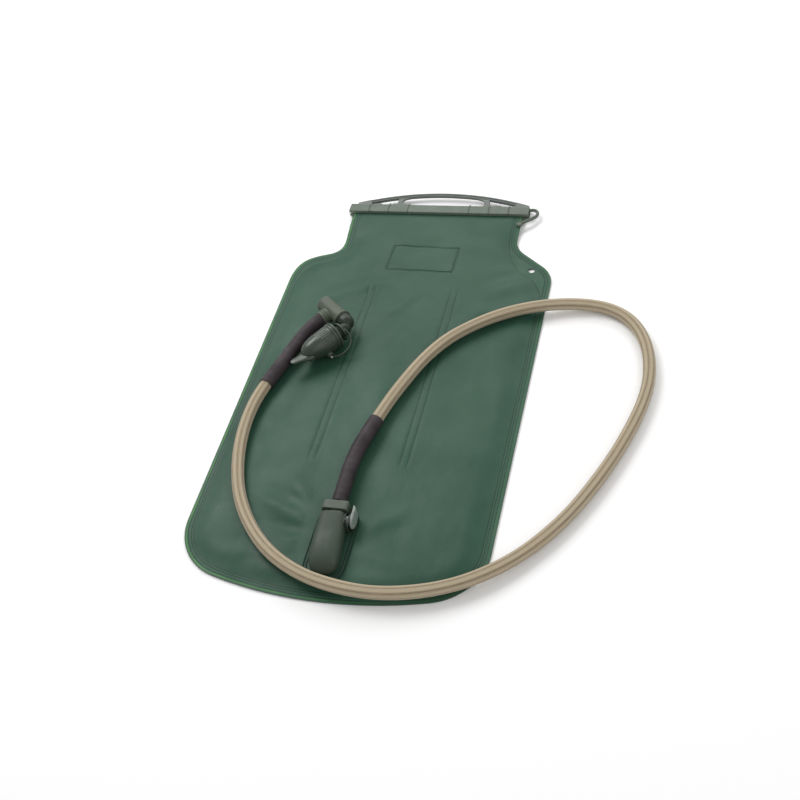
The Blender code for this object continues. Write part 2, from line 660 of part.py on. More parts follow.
def make_latch(across, latch_line):
    """The thumb button and the plate that it pushes across the plug's groove."""
    ring = arc((0, 0), LATCH_HOLE + 1.5, 25, 335, 26)
    hole = arc((0, 0), LATCH_HOLE, 0, 345, 24)
    arm = [(LATCH_HOLE + 1.6, -2.5), (LATCH_HOLE + 1.6, 2.5)]
    sideways = frame((LATCH_OFFSET, PORT_Y + LATCH_Y, PLUG_Z), (1, 0, 0), (0, 1, 0))
    plate("latch_plate", [ring + arm, hole], LATCH_THICKNESS, sideways, STEEL)
    stem, head_x = 3.2, 13.8
    head = (
        (0, 17.4), (4.5, 17.3), (7.2, 16.7), (8.2, 15.4), (8.2, head_x), (stem, head_x),
        (stem, 8.5), (0, 8.5),
    )
    button = as_mesh(turned("release_button", head, across, BUTTON_GREY, 28))
    button.data.materials.clear()
    button.data.materials.append(BUTTON_GREY)
    # The head is wider along the bag than it is high and sits off the stem, which stays round.
    for vert in button.data.vertices:
        if vert.co.z > (head_x - 0.1) * MM and math.hypot(vert.co.x, vert.co.y) > (stem + 0.1) * MM:
            vert.co.x = vert.co.x * 1.1 + 3.0 * MM
            vert.co.y *= 0.8
    smooth(button)
    hole = arc((0, 0), 3.6, 0, 345, 24)
    guide = [guide_outline(), hole]
    plate("button_guide", guide, 3.2, offset(across, 10.5), HOUSING_GREEN)
    spring("button_spring", 4.2, 12.2, head_x - 0.1, 2, across, 0.25)


# ---- Hose and bite valve -----------------------------------------------------------------------
def make_hose():
    """The drinking tube, its braided sleeve and the shrunk cuffs over the sleeve's ends."""
    first, last = Vector(HOSE_ROUTE[0]), Vector(HOSE_ROUTE[-1])
    line = [first, *smooth_line(HOSE_ROUTE[1:-1], HOSE_STEP), last]
    outlet_end = round(OUTLET_CUFF_LENGTH / HOSE_STEP)
    valve_end = len(line) - 1 - round(VALVE_CUFF_LENGTH / HOSE_STEP)
    start = first + (line[1] - first).normalized() * SLEEVE_END
    end = last + (line[-2] - last).normalized() * SLEEVE_END
    hollow_hose("drinking_tube", line, TUBE_BORE, TUBE_RADIUS, TUBE_CLEAR)
    hollow_hose("tube_sleeve", [start, *line[1:-1], end], SLEEVE_BORE, SLEEVE_RADIUS, SLEEVE_TAN)
    hollow_hose("outlet_cuff", line[: outlet_end + 1], CUFF_BORE, CUFF_RADIUS, CUFF_BLACK)
    hollow_hose("valve_cuff", line[valve_end:], CUFF_BORE, CUFF_RADIUS, CUFF_BLACK)


def valve_axes():
    """The bite valve's own directions: along its barrel, and from the nozzle back to its tip."""
    along = Vector((math.cos(VALVE_ANGLE), math.sin(VALVE_ANGLE), 0))
    nozzle = Vector((math.sin(VALVE_ANGLE), -math.cos(VALVE_ANGLE), 0))
    return along, nozzle


def make_bite_valve():
    along, nozzle = valve_axes()
    end = Vector((*VALVE_END, VALVE_Z))
    barrel_line = frame(end, nozzle, along)
    entry = frame(end + along * HOSE_ENTRY, along, nozzle)
    corner = frame(end + along * NOZZLE, along, nozzle)

    outside = (
        (0, BARREL_LENGTH), (BARREL_RADIUS, BARREL_LENGTH), (BARREL_RADIUS, 1.6),
        (BARREL_RADIUS - 0.5, 0.5), (BARREL_RADIUS - 1.6, 0), (0, 0),
    )
    barrel = turned("valve_barrel", outside, barrel_line, HOUSING_GREEN, 32)
    tail = BARB_RADIUS - 0.4
    barb = (
        (0, 18.6), (BARB_RADIUS - 0.6, 18.6), (BARB_RADIUS, 15.4), (tail, 15.2),
        (BARB_RADIUS, 12.0), (tail, 11.8), (tail, 2.0), (0, 2.0),
    )
    join(barrel, turned("barrel_barb", barb, entry, None, 24))
    cut(
        barrel,
        rod("core_bore", CORE_RADIUS + 0.3, 5, 60, barrel_line, steps=28),
        rod("barb_bore", 1.8, 0, 40, entry, steps=16),
    )

    core = (
        (0, NOZZLE - 2), (6.9, NOZZLE - 2), (7.2, BARREL_LENGTH + 2.6), (7.2, BARREL_LENGTH + GAP),
        (CORE_RADIUS, BARREL_LENGTH + GAP), (CORE_RADIUS, 26.0), (3.4, 26.0), (3.4, 24.4),
        (CORE_RADIUS, 24.4), (CORE_RADIUS, 10.2), (3.4, 10.2), (3.4, 8.6), (CORE_RADIUS, 8.6),
        (CORE_RADIUS, 6.0), (0, 6.0),
    )
    elbow = turned("mouthpiece_elbow", core, barrel_line, HOUSING_GREEN, 32)
    spout = (
        (0, 27.0), (2.9, 27.0), (4.0, 26.0), (4.0, 15.0), (6.4, 14.2), (6.8, 4.0), (7.3, 0.0),
        (6.8, -2.6), (4.6, -4.6), (0, -5.2),
    )
    join(elbow, turned("spout", spout, corner, None, 32))
    cut(
        elbow,
        rod("core_way", 2.4, 12, NOZZLE, twisted(barrel_line, 2.3), steps=20),
        rod("spout_way", 2.4, 0, 40, twisted(corner), steps=20),
        rod("side_way", 2.0, 0, 8, twisted(entry, 5.1), steps=16),
    )
    for name, place in (("core_seal_inner", 9.4), ("core_seal_outer", 25.2)):
        seal(name, 3.95, 0.5, barrel_line @ Matrix.Translation((0, 0, place * MM)))

    sheath = (
        (3.0, 38.0), (4.6, 37.2), (5.6, 33.0), (6.2, 27.0), (7.4, 22.0), (7.4, 15.6), (4.4, 15.6),
        (4.4, 28.0), (3.2, 33.0), (1.2, 36.6), (1.2, 38.0),
    )
    turned("bite_sheath", sheath, corner, SILICONE, 28)
    make_dust_cap(corner)


def make_dust_cap(corner):
    """A soft cover over the mouthpiece, with a ribbed rim, a finger tab and a keeper strap."""
    cup = (
        (0, 50.6), (4.0, 50.0), (7.0, 47.8), (9.0, 44.0), (10.1, 38.0), (10.7, 31.0), (11.1, 24.0),
        (11.3, 17.6), (12.1, 17.2), (12.1, 15.4), (9.5, 15.4), (9.5, 24.0), (8.6, 34.0),
        (6.8, 41.0), (3.0, 44.6), (0, 45.6),
    )
    cap = turned("dust_cap", cup, corner, HOUSING_GREEN, 32)
    tab = [(-3.8, 46.0), (3.8, 46.0), *arc((0, 58.5), 3.4, 0, 180, 7)]
    lying = frame(corner.translation / MM, corner.col[0].xyz, (0, 0, 1))
    tab = [(x, y * math.copysign(1, lying.col[1].xyz.dot(corner.col[2].xyz))) for x, y in tab]
    join(cap, as_mesh(plate("finger_tab", [tab], 2.4, lying)))
    along, nozzle = valve_axes()
    origin = Vector((*VALVE_END, VALVE_Z)) + along * NOZZLE
    path = (
        (8.4, 5.6, 1.4), (12.4, 7.2, 0.2), (15.8, 10.6, -2.0), (17.8, 15.8, -4.4),
        (17.0, 22.4, -6.2), (13.4, 28.0, -6.6), (10.8, 30.6, -6.0),
    )
    places = [origin + along * s + nozzle * n + Vector((0, 0, w)) for s, n, w in path]
    wire("cap_strap", smooth_line(places, 3.0), 0.9, HOUSING_GREEN, 2)


for old in list(bpy.data.objects):
    bpy.data.objects.remove(old)

FILM_GREEN = plain("film_green", (0.085, 0.16, 0.115), 0.5)
CLIP_GREY = plain("clip_grey", (0.12, 0.15, 0.12), 0.45)
HOUSING_GREEN = plain("housing_green", (0.055, 0.075, 0.055), 0.5)
BUTTON_GREY = plain("button_grey", (0.35, 0.38, 0.36), 0.35)
CUFF_BLACK = plain("cuff_black", (0.03, 0.027, 0.03), 0.6)
SLEEVE_TAN = plain("sleeve_tan", (0.42, 0.36, 0.25), 0.8)
TUBE_CLEAR = plain("tube_clear", (0.6, 0.62, 0.6), 0.25)
SILICONE = plain("silicone", (0.35, 0.38, 0.38), 0.35)
RUBBER = plain("rubber", (0.02, 0.02, 0.02), 0.7)
STEEL = plain("steel", (0.6, 0.6, 0.6), 0.3, 1.0)

PARTS = collection("hydration_reservoir")
CUTTERS = collection("cutters", hidden=True)

make_bag()
make_clip()
make_leash()
make_outlet()
make_hose()
make_bite_valve()
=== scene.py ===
"""The hydration reservoir's visual model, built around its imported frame."""

import math

import bmesh
import bpy
import numpy as np
from mathutils import Matrix, Vector, noise
from mathutils.geometry import delaunay_2d_cdt


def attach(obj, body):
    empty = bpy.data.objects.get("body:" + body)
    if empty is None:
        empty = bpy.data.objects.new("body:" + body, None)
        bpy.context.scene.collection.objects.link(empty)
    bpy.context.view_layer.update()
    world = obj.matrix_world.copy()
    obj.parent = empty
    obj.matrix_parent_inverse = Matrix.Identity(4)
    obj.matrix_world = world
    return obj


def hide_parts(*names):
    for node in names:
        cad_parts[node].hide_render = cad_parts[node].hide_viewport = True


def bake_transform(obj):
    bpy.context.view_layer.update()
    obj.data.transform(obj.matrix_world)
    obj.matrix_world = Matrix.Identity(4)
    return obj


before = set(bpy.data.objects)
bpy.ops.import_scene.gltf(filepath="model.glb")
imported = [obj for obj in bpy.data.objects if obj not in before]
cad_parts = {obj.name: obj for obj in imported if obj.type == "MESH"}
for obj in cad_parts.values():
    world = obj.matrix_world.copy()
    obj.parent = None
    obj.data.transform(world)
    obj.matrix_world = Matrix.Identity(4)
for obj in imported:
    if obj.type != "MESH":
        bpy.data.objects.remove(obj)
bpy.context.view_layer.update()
MM = 0.001
SCENE = bpy.context.scene
X, Y, Z = Vector((1, 0, 0)), Vector((0, 1, 0)), Vector((0, 0, 1))


# ---- Camera, floor and light ----
def added(name, data):
    """A new object in the scene."""
    obj = bpy.data.objects.new(name, data)
    SCENE.collection.objects.link(obj)
    return obj


# The camera as solved from the photo
LENS = 51.27
CAMERA_PLACE = (0.2712, -0.6019, 0.6912)
CAMERA_RIGHT = Vector((0.95939, 0.23304, -0.15895)).normalized()
CAMERA_AHEAD = Vector((-0.27184, 0.61325, -0.74164)).normalized()
FLOOR_HALF, FLOOR_DROP = 6.0, 0.0004


def make_camera():
    data = bpy.data.cameras.new("camera")
    data.sensor_width = 36.0
    data.lens = LENS
    data.clip_start = 0.01
    camera = added("camera", data)
    up = CAMERA_RIGHT.cross(CAMERA_AHEAD)
    camera.matrix_world = Matrix((CAMERA_RIGHT, up, -CAMERA_AHEAD)).transposed().to_4x4()
    camera.location = CAMERA_PLACE
    SCENE.camera = camera


def area_light(name, place, size, power):
    data = bpy.data.lights.new(name, "AREA")
    data.shape = "RECTANGLE"
    data.size, data.size_y = size
    data.energy = power
    lamp = added(name, data)
    lamp.location = place
    lamp.rotation_euler = (-Vector(place)).to_track_quat("-Z", "Y").to_euler()


def make_studio():
    SCENE.view_settings.view_transform = "Standard"
    world = bpy.data.worlds.new("studio")
    SCENE.world = world
    world.use_nodes = True
    sky = world.node_tree.nodes["Background"].inputs
    sky["Color"].default_value = (1, 1, 1, 1)
    sky["Strength"].default_value = 0.5
    area_light("key", (-0.75, 0.55, 1.15), (0.9, 0.7), 12.5)
    area_light("back_softbox", (0.1, 1.5, 1.1), (1.6, 0.7), 11.0)
    area_light("fill", (1.0, -0.6, 1.0), (1.2, 1.2), 4.5)
    bm = bmesh.new()
    bmesh.ops.create_grid(bm, x_segments=2, y_segments=2, size=FLOOR_HALF)
    mesh = bpy.data.meshes.new("floor")
    bm.to_mesh(mesh)
    bm.free()
    floor = added("floor", mesh)
    floor.location.z = -FLOOR_DROP
    mat = bpy.data.materials.new("floor_paper")
    mat.use_nodes = True
    shader = mat.node_tree.nodes["Principled BSDF"]
    shader.inputs["Base Color"].default_value = (0.96, 0.96, 0.96, 1)
    shader.inputs["Roughness"].default_value = 0.9
    mesh.materials.append(mat)


make_camera()
make_studio()


# ---- Material building blocks ----
class Look:
    """A material under construction: its nodes, and short ways to add and join them."""

    def __init__(self, name, roughness=0.5, **sockets):
        self.mat = bpy.data.materials.new(name)
        self.mat.use_nodes = True
        self.tree = self.mat.node_tree
        self.shader = self.tree.nodes["Principled BSDF"]
        self.shader.inputs["Roughness"].default_value = roughness
        for socket, value in sockets.items():
            self.shader.inputs[socket.replace("_", " ")].default_value = value
        self.bumps = None

    def add(self, kind, **settings):
        made = self.tree.nodes.new(kind)
        for key, value in settings.items():
            if hasattr(made, key):
                setattr(made, key, value)
            else:
                self.put(made.inputs[key.replace("_", " ")], value)
        return made

    def put(self, socket, value):
        if isinstance(value, bpy.types.NodeSocket):
            self.tree.links.new(value, socket)
        else:
            socket.default_value = value

    def math(self, operation, a, b=0.0, clamp=False):
        made = self.add("ShaderNodeMath", operation=operation, use_clamp=clamp)
        self.put(made.inputs[0], a)
        self.put(made.inputs[1], b)
        return made.outputs[0]

    def times(self, a, b, clamp=False):
        return self.math("MULTIPLY", a, b, clamp)

    def plus(self, a, b, clamp=False):
        return self.math("ADD", a, b, clamp)

    def minus(self, a, b, clamp=False):
        return self.math("SUBTRACT", a, b, clamp)

    def fade(self, away, width):
        """One at zero, falling to nothing at a width."""
        return self.minus(1.0, self.math("DIVIDE", away, width), True)

    def place(self, scale=(1, 1, 1), turn=(0, 0, 0)):
        spot = self.add("ShaderNodeTexCoord").outputs["Object"]
        made = self.add("ShaderNodeMapping", Vector=spot, Scale=scale, Rotation=turn)
        return made.outputs["Vector"]

    def value(self, name):
        return self.add("ShaderNodeAttribute", attribute_name=name).outputs["Fac"]

    def noise(self, scale, detail=4.0, rough=0.5, where=None):
        settings = {"Scale": scale, "Detail": detail, "Roughness": rough}
        where = where or self.place()
        return self.add("ShaderNodeTexNoise", Vector=where, **settings).outputs["Fac"]

    def ramp(self, value, *stops):
        made = self.add("ShaderNodeValToRGB", Fac=value)
        elements = made.color_ramp.elements
        while len(elements) < len(stops):
            elements.new(0.5)
        for element, (position, colour) in zip(elements, stops):
            element.position = position
            grey = isinstance(colour, (int, float))
            element.color = (colour,) * 3 + (1,) if grey else (*colour, 1)
        return made.outputs["Color"]

    def mix(self, share, a, b):
        made = self.add("ShaderNodeMix", data_type="RGBA", Factor=share)
        for socket, value in ((made.inputs[6], a), (made.inputs[7], b)):
            self.put(socket, (*value, 1) if isinstance(value, tuple) else value)
        return made.outputs[2]

    def colour(self, value):
        self.put(self.shader.inputs["Base Color"], value)

    def roughness(self, value):
        self.put(self.shader.inputs["Roughness"], value)

    def bump(self, height, strength, distance):
        made = self.add("ShaderNodeBump", Strength=strength, Distance=distance, Height=height)
        if self.bumps:
            self.tree.links.new(self.bumps, made.inputs["Normal"])
        self.bumps = made.outputs["Normal"]
        self.tree.links.new(self.bumps, self.shader.inputs["Normal"])


def moulded(name, dark, light, roughness=0.5, gloss=0.35):
    """Moulded plastic: fine spark grain, uneven colour and paler worn edges."""
    look = Look(name, roughness, Specular_IOR_Level=gloss)
    cloud = look.noise(26.0, 5.0, 0.6)
    base = look.ramp(cloud, (0.3, dark), (0.7, light))
    edge = look.add("ShaderNodeNewGeometry").outputs["Pointiness"]
    rub = look.times(look.ramp(edge, (0.52, 0.0), (0.6, 1.0)), look.noise(160.0, 3.0))
    worn = tuple(c * 1.9 + 0.02 for c in light)
    look.colour(look.mix(rub, base, worn))
    fine = look.noise(900.0, 2.0, 0.6)
    look.roughness(look.ramp(look.noise(70.0, 4.0), (0.35, roughness - 0.07), (0.65, roughness + 0.08)))
    look.bump(fine, 0.35, 0.00008)
    look.bump(look.noise(45.0, 3.0), 0.12, 0.0004)
    return look.mat


def film_look(name, dark, light, edge_colour):
    """Coated film: a faint woven backing, soft leathery bloom, and a double toothed weld round it, with painted
    shade in its pressed lines and a painted bright green glow inside its edge, stronger on the left side.
    """
    look = Look(name, 0.45, Specular_IOR_Level=0.22)
    cloud = look.noise(9.0, 4.0, 0.55)
    base = look.ramp(cloud, (0.25, dark), (0.75, light))
    mottled = look.noise(210.0, 3.0, 0.7)
    base = look.mix(look.ramp(mottled, (0.4, 0.0), (0.75, 0.2)), base, light)
    inset = look.value("inset_mm")
    along = look.value("along_mm")
    welded = look.math("LESS_THAN", look.value("weld_in"), 0.0)
    paler = tuple(a * 1.12 + b * 0.10 for a, b in zip(light, edge_colour))
    base = look.mix(look.times(welded, 0.16), base, paler)
    teeth = look.math("SINE", look.times(along, 2 * math.pi / 2.1))
    teeth = look.plus(look.times(teeth, 0.45), 0.55)

    def between(low, high):
        above = look.math("GREATER_THAN", inset, low)
        return look.times(above, look.math("LESS_THAN", inset, high))

    rows = look.plus(between(2.6, 3.4), between(4.9, 5.9))
    tooth = look.times(teeth, rows)
    base = look.mix(look.times(tooth, 0.9), base, tuple(c * 0.3 for c in dark))
    # Painted shade: the pressed baffle and label lines are darkened where shade falls in them.
    groove = look.value("groove")
    base = look.mix(look.times(groove, 0.85, True), base, tuple(c * 0.3 for c in dark))
    seam = look.fade(look.math("ABSOLUTE", look.value("weld_in")), 0.7)
    base = look.mix(look.times(seam, 0.85), base, tuple(c * 0.4 for c in dark))
    # Painted light: a bright green glow just inside the edge, made stronger on the left side, where the key
    # light falls.
    edge_glow = look.minus(inset, 1.5)
    edge_glow = look.fade(look.math("ABSOLUTE", edge_glow), 0.9)
    rim = look.ramp(look.noise(42.0, 3.0), (0.35, 0.2), (0.65, 1.0))
    across = look.add("ShaderNodeSeparateXYZ", Vector=look.place()).outputs["X"]
    lit_left = look.times(across, -8.0)
    lit_left = look.plus(lit_left, 0.55, True)
    rim = look.times(rim, look.plus(look.times(lit_left, 0.75), 0.25))
    edge_glow = look.times(edge_glow, rim, True)
    base = look.mix(edge_glow, base, edge_colour)
    edge = look.fade(inset, 0.7)
    look.colour(look.mix(look.times(edge, 0.6), base, (0.07, 0.105, 0.075)))
    look.roughness(look.ramp(look.noise(30.0, 5.0, 0.6), (0.3, 0.38), (0.7, 0.52)))
    look.bump(tooth, 0.5, 0.0003)
    weave = look.place((1, 1, 1), (0, 0, math.radians(2)))
    for kind in ("X", "Y"):
        wave = look.add(
            "ShaderNodeTexWave", wave_type="BANDS", bands_direction=kind, Scale=430.0,
            Distortion=0.6, Vector=weave,
        )
        look.bump(wave.outputs["Fac"], 0.05, 0.00005)
    look.bump(mottled, 0.16, 0.0002)
    look.bump(look.noise(28.0, 5.0, 0.62), 0.35, 0.0016)
    slack = look.place((1.0, 0.42, 1.0), (0, 0, math.radians(24)))
    look.bump(look.noise(15.0, 3.0, 0.5, slack), 0.5, 0.006)
    return look.mat


def sleeve_look():
    """Woven tube cover: lengthwise ribs crossed by fine picks, with darker tracer threads."""
    look = Look("sleeve_weave", 0.72, Sheen_Weight=0.15, Sheen_Roughness=0.5, Specular_IOR_Level=0.3)
    around, along = look.value("around"), look.value("along")
    ribs = look.math("SINE", look.times(around, 2 * math.pi * 15))
    picks = look.math("SINE", look.times(along, 2 * math.pi / 0.0011))
    cross = look.times(ribs, picks)
    thread = look.plus(look.times(cross, 0.5), 0.5, True)
    base = look.ramp(thread, (0.1, (0.24, 0.185, 0.115)), (0.8, (0.54, 0.45, 0.31)))
    stripes = look.math("SINE", look.times(look.plus(around, 0.085), 2 * math.pi * 3.5))
    stripes = look.ramp(stripes, (0.55, 0.0), (1.0, 0.75))
    wander = look.noise(190.0, 3.0, 0.6)
    stripes = look.times(stripes, look.ramp(wander, (0.3, 0.6), (0.6, 1.0)))
    base = look.mix(stripes, base, (0.16, 0.115, 0.07))
    pale = look.math("SINE", look.times(look.plus(around, 0.085), 2 * math.pi * 3.5))
    pale = look.times(pale, -0.3, True)
    base = look.mix(pale, base, (0.74, 0.64, 0.47))
    soil = look.ramp(look.noise(22.0, 4.0), (0.35, 0.0), (0.75, 0.3))
    look.colour(look.mix(soil, base, (0.38, 0.30, 0.19)))
    look.bump(thread, 0.7, 0.00025)
    look.bump(look.times(ribs, 0.5), 0.6, 0.00035)
    return look.mat


def cuff_look():
    look = Look("cuff_shrink", 0.6, Specular_IOR_Level=0.25)
    base = look.ramp(look.noise(60.0, 4.0), (0.3, (0.026, 0.020, 0.023)), (0.7, (0.056, 0.044, 0.050)))
    look.colour(base)
    fine = look.add(
        "ShaderNodeTexWave", wave_type="BANDS", bands_direction="X", Scale=1.0, Distortion=2.0,
        Vector=look.place((260.0, 260.0, 260.0)),
    )
    look.roughness(look.ramp(look.noise(140.0, 3.0), (0.3, 0.5), (0.7, 0.7)))
    look.bump(look.noise(420.0, 3.0, 0.7), 0.35, 0.00025)
    look.bump(fine.outputs["Fac"], 0.08, 0.0002)
    return look.mat


def translucent(name, dark, light, roughness):
    look = Look(name, roughness, Transmission_Weight=0.15, Subsurface_Weight=0.2, Subsurface_Scale=0.002)
    look.colour(look.ramp(look.noise(150.0, 3.0), (0.3, dark), (0.7, light)))
    look.bump(look.noise(700.0, 2.0), 0.2, 0.00006)
    return look.mat


def metal(name):
    look = Look(name, 0.32, Metallic=1.0)
    look.colour(look.ramp(look.noise(80.0, 4.0), (0.3, (0.42, 0.42, 0.43)), (0.7, (0.62, 0.62, 0.63))))
    look.bump(look.noise(600.0, 2.0), 0.15, 0.00005)
    return look.mat


# Each film's last colour is its painted edge glow, which also tints its weld a little.
FILM = film_look("film_front", (0.016, 0.058, 0.036), (0.036, 0.096, 0.062), (0.07, 0.26, 0.045))
FILM_BACK = film_look("film_back", (0.018, 0.062, 0.038), (0.034, 0.092, 0.06), (0.09, 0.32, 0.06))
BAFFLE = moulded("baffle_film", (0.018, 0.06, 0.038), (0.034, 0.092, 0.06), 0.5)
CLIP = moulded("clip_plastic", (0.074, 0.098, 0.073), (0.100, 0.124, 0.096), 0.5)
ARCH = moulded("handle_plastic", (0.108, 0.126, 0.112), (0.145, 0.162, 0.146), 0.48)
HOUSING = moulded("housing_plastic", (0.036, 0.054, 0.039), (0.056, 0.077, 0.058), 0.5, gloss=0.25)
COLLAR = moulded("collar_plastic", (0.052, 0.070, 0.053), (0.074, 0.092, 0.070), 0.5)
VALVE = moulded("valve_plastic", (0.070, 0.090, 0.066), (0.104, 0.118, 0.082), 0.45, gloss=0.3)
ELBOW = moulded("elbow_plastic", (0.014, 0.022, 0.015), (0.028, 0.038, 0.026), 0.4, gloss=0.3)
CAP = moulded("cap_plastic", (0.024, 0.038, 0.026), (0.042, 0.060, 0.042), 0.34, gloss=0.5)
BUTTON = translucent("button_plastic", (0.26, 0.30, 0.28), (0.42, 0.46, 0.44), 0.3)
SILICONE = translucent("mouth_silicone", (0.42, 0.46, 0.46), (0.56, 0.6, 0.6), 0.35)
SLEEVE = sleeve_look()
CUFF = cuff_look()
RUBBER = moulded("seal_rubber", (0.014, 0.014, 0.014), (0.03, 0.03, 0.03), 0.65)
STEEL = metal("spring_steel")


# ---- Mesh building blocks ----
def piece(name, mesh, material, body, replaces=(), smooth=40.0):
    """A finished piece: its material, its shading, and the body that it moves with."""
    obj = added(name, mesh)
    mesh.name = name
    mesh.materials.clear()
    mesh.materials.append(material)
    mesh.shade_smooth()
    if smooth:
        mesh.set_sharp_from_angle(angle=math.radians(smooth))
    if body:
        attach(obj, body)
    if replaces:
        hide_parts(*replaces)
    return obj


def mesh_from(bm):
    bmesh.ops.recalc_face_normals(bm, faces=bm.faces)
    mesh = bpy.data.meshes.new("mesh")
    bm.to_mesh(mesh)
    bm.free()
    return mesh


def evaluated(obj):
    """The object's mesh with its modifiers applied, and the object gone."""
    bpy.context.view_layer.update()
    graph = bpy.context.evaluated_depsgraph_get()
    mesh = bpy.data.meshes.new_from_object(obj.evaluated_get(graph), depsgraph=graph)
    mesh.transform(obj.matrix_world)
    bpy.data.objects.remove(obj)
    return mesh


def axes(origin, x_axis, z_axis):
    z = Vector(z_axis).normalized()
    y = z.cross(Vector(x_axis)).normalized()
    return Matrix.Translation(Vector(origin) * MM) @ Matrix((y.cross(z), y, z)).transposed().to_4x4()


def loft(rings, close_ends=True):
    """A skin through rings of equal length, each a list of points in millimetres."""
    bm = bmesh.new()
    loops = []
    for ring in rings:
        loops.append([bm.verts.new(Vector(p) * MM) for p in ring])
    n = len(loops[0])
    for a, b in zip(loops, loops[1:]):
        for i in range(n):
            j = (i + 1) % n
            bm.faces.new((a[i], a[j], b[j], b[i]))
    if close_ends:
        bm.faces.new(loops[0])
        bm.faces.new(loops[-1])
    return mesh_from(bm)


def lathe(profile, placing, sides=48, shape=None):
    """A turned piece from (radius, height) points; shape(angle, radius, height) may alter the radius.
    A profile that starts off the axis closes on itself as a ring."""
    on_axis = profile[0][0] == 0
    bm = bmesh.new()
    rows = []
    for radius, height in profile:
        if radius == 0:
            rows.append([bm.verts.new((0, 0, height * MM))])
            continue
        row = []
        for k in range(sides):
            angle = 2 * math.pi * k / sides
            r = shape(angle, radius, height) if shape else radius
            row.append(bm.verts.new((r * math.cos(angle) * MM, r * math.sin(angle) * MM, height * MM)))
        rows.append(row)
    pairs = list(zip(rows, rows[1:]))
    if not on_axis:
        pairs.append((rows[-1], rows[0]))
    for a, b in pairs:
        for k in range(sides):
            j = (k + 1) % sides
            if len(a) == 1 and len(b) == 1:
                continue
            if len(a) == 1:
                bm.faces.new((a[0], b[j], b[k]))
            elif len(b) == 1:
                bm.faces.new((a[k], a[j], b[0]))
            else:
                bm.faces.new((a[k], a[j], b[j], b[k]))
    mesh = mesh_from(bm)
    mesh.transform(placing)
    return mesh


def rounded(profile, radius=0.5, steps=4):
    """The profile with its inner corners rounded, each by at most the given radius."""
    points = [Vector(p) for p in profile]
    result = [tuple(points[0])]
    for a, b, c in zip(points, points[1:], points[2:]):
        before, after = (a - b), (c - b)
        reach = min(radius, before.length * 0.45, after.length * 0.45)
        if reach < 1e-3 or abs(before.normalized().dot(after.normalized())) > 0.999:
            result.append(tuple(b))
            continue
        start, end = b + before.normalized() * reach, b + after.normalized() * reach
        for i in range(steps + 1):
            t = i / steps
            result.append(tuple(start * (1 - t) ** 2 + 2 * b * t * (1 - t) + end * t * t))
    result.append(tuple(points[-1]))
    return result


def plate(outlines, thickness, placing, edge=0.35):
    """A flat plate from closed outlines, the later ones holes, with rounded edges."""
    data = bpy.data.curves.new("plate", "CURVE")
    data.dimensions = "2D"
    data.fill_mode = "BOTH"
    data.extrude = (thickness / 2 - edge) * MM
    data.bevel_depth = edge * MM
    data.bevel_resolution = 3
    data.offset = -edge * MM
    for outline in outlines:
        spline = data.splines.new("POLY")
        spline.points.add(len(outline) - 1)
        for point, (x, y) in zip(spline.points, outline):
            point.co = (x * MM, y * MM, 0.0, 1.0)
        spline.use_cyclic_u = True
    obj = added("plate", data)
    obj.matrix_world = placing
    return evaluated(obj)


def arc(centre, radius, start, end, points):
    step = (end - start) / (points - 1)
    angles = [math.radians(start + step * i) for i in range(points)]
    return [(centre[0] + radius * math.cos(a), centre[1] + radius * math.sin(a)) for a in angles]


def stadium(half_width, low, high, points=12):
    top = arc((0, high - half_width), half_width, 0, 180, points)
    return top + arc((0, low + half_width), half_width, 180, 360, points)


def merged(*meshes):
    """Several closed skins as one mesh."""
    bm = bmesh.new()
    for mesh in meshes:
        bm.from_mesh(mesh)
    return mesh_from(bm)


def smooth_line(points, step, settle=0):
    """Evenly spaced points on a Catmull-Rom curve, then evened out a little."""
    knots = [Vector(p) for p in points]
    knots = [2 * knots[0] - knots[1], *knots, 2 * knots[-1] - knots[-2]]
    fine = []
    for a, b, c, d in zip(knots, knots[1:], knots[2:], knots[3:]):
        for i in range(16):
            t = i / 16
            square = (2 * a - 5 * b + 4 * c - d) * t**2
            fine.append((2 * b + (c - a) * t + square + (3 * b - a - 3 * c + d) * t**3) / 2)
    fine.append(knots[-2])
    for _ in range(2):
        along = [0.0]
        for a, b in zip(fine, fine[1:]):
            along.append(along[-1] + (b - a).length)
        count = max(2, round(along[-1] / step))
        line, j = [], 0
        for i in range(count + 1):
            want = along[-1] * i / count
            while j < len(fine) - 2 and along[j + 1] < want:
                j += 1
            share = (want - along[j]) / max(1e-9, along[j + 1] - along[j])
            line.append(fine[j].lerp(fine[j + 1], share))
        for _ in range(settle):
            inner = [(a + 2 * b + c) / 4 for a, b, c in zip(line, line[1:], line[2:])]
            line = [line[0], *inner, line[-1]]
        fine = line
    return line


def length_of(line):
    return sum((b - a).length for a, b in zip(line, line[1:]))


def spaced(points, count):
    """The line cut into a count of equal steps."""
    line, gone, want = [], 0.0, 0
    total = length_of(points)
    for a, b in zip(points, points[1:]):
        step = (b - a).length
        while want <= count and gone + step >= total * want / count - 1e-9:
            line.append(a.lerp(b, (total * want / count - gone) / max(step, 1e-9)))
            want += 1
        gone += step
    return line


def part_of(line, start, end):
    """The stretch of a line between two distances along it."""
    result, gone = [], 0.0
    for a, b in zip(line, line[1:]):
        step = (b - a).length
        if gone + step > start and gone < end:
            if not result:
                result.append(a.lerp(b, max(0.0, (start - gone) / step)))
            result.append(a.lerp(b, min(1.0, (end - gone) / step)))
        gone += step
    return result


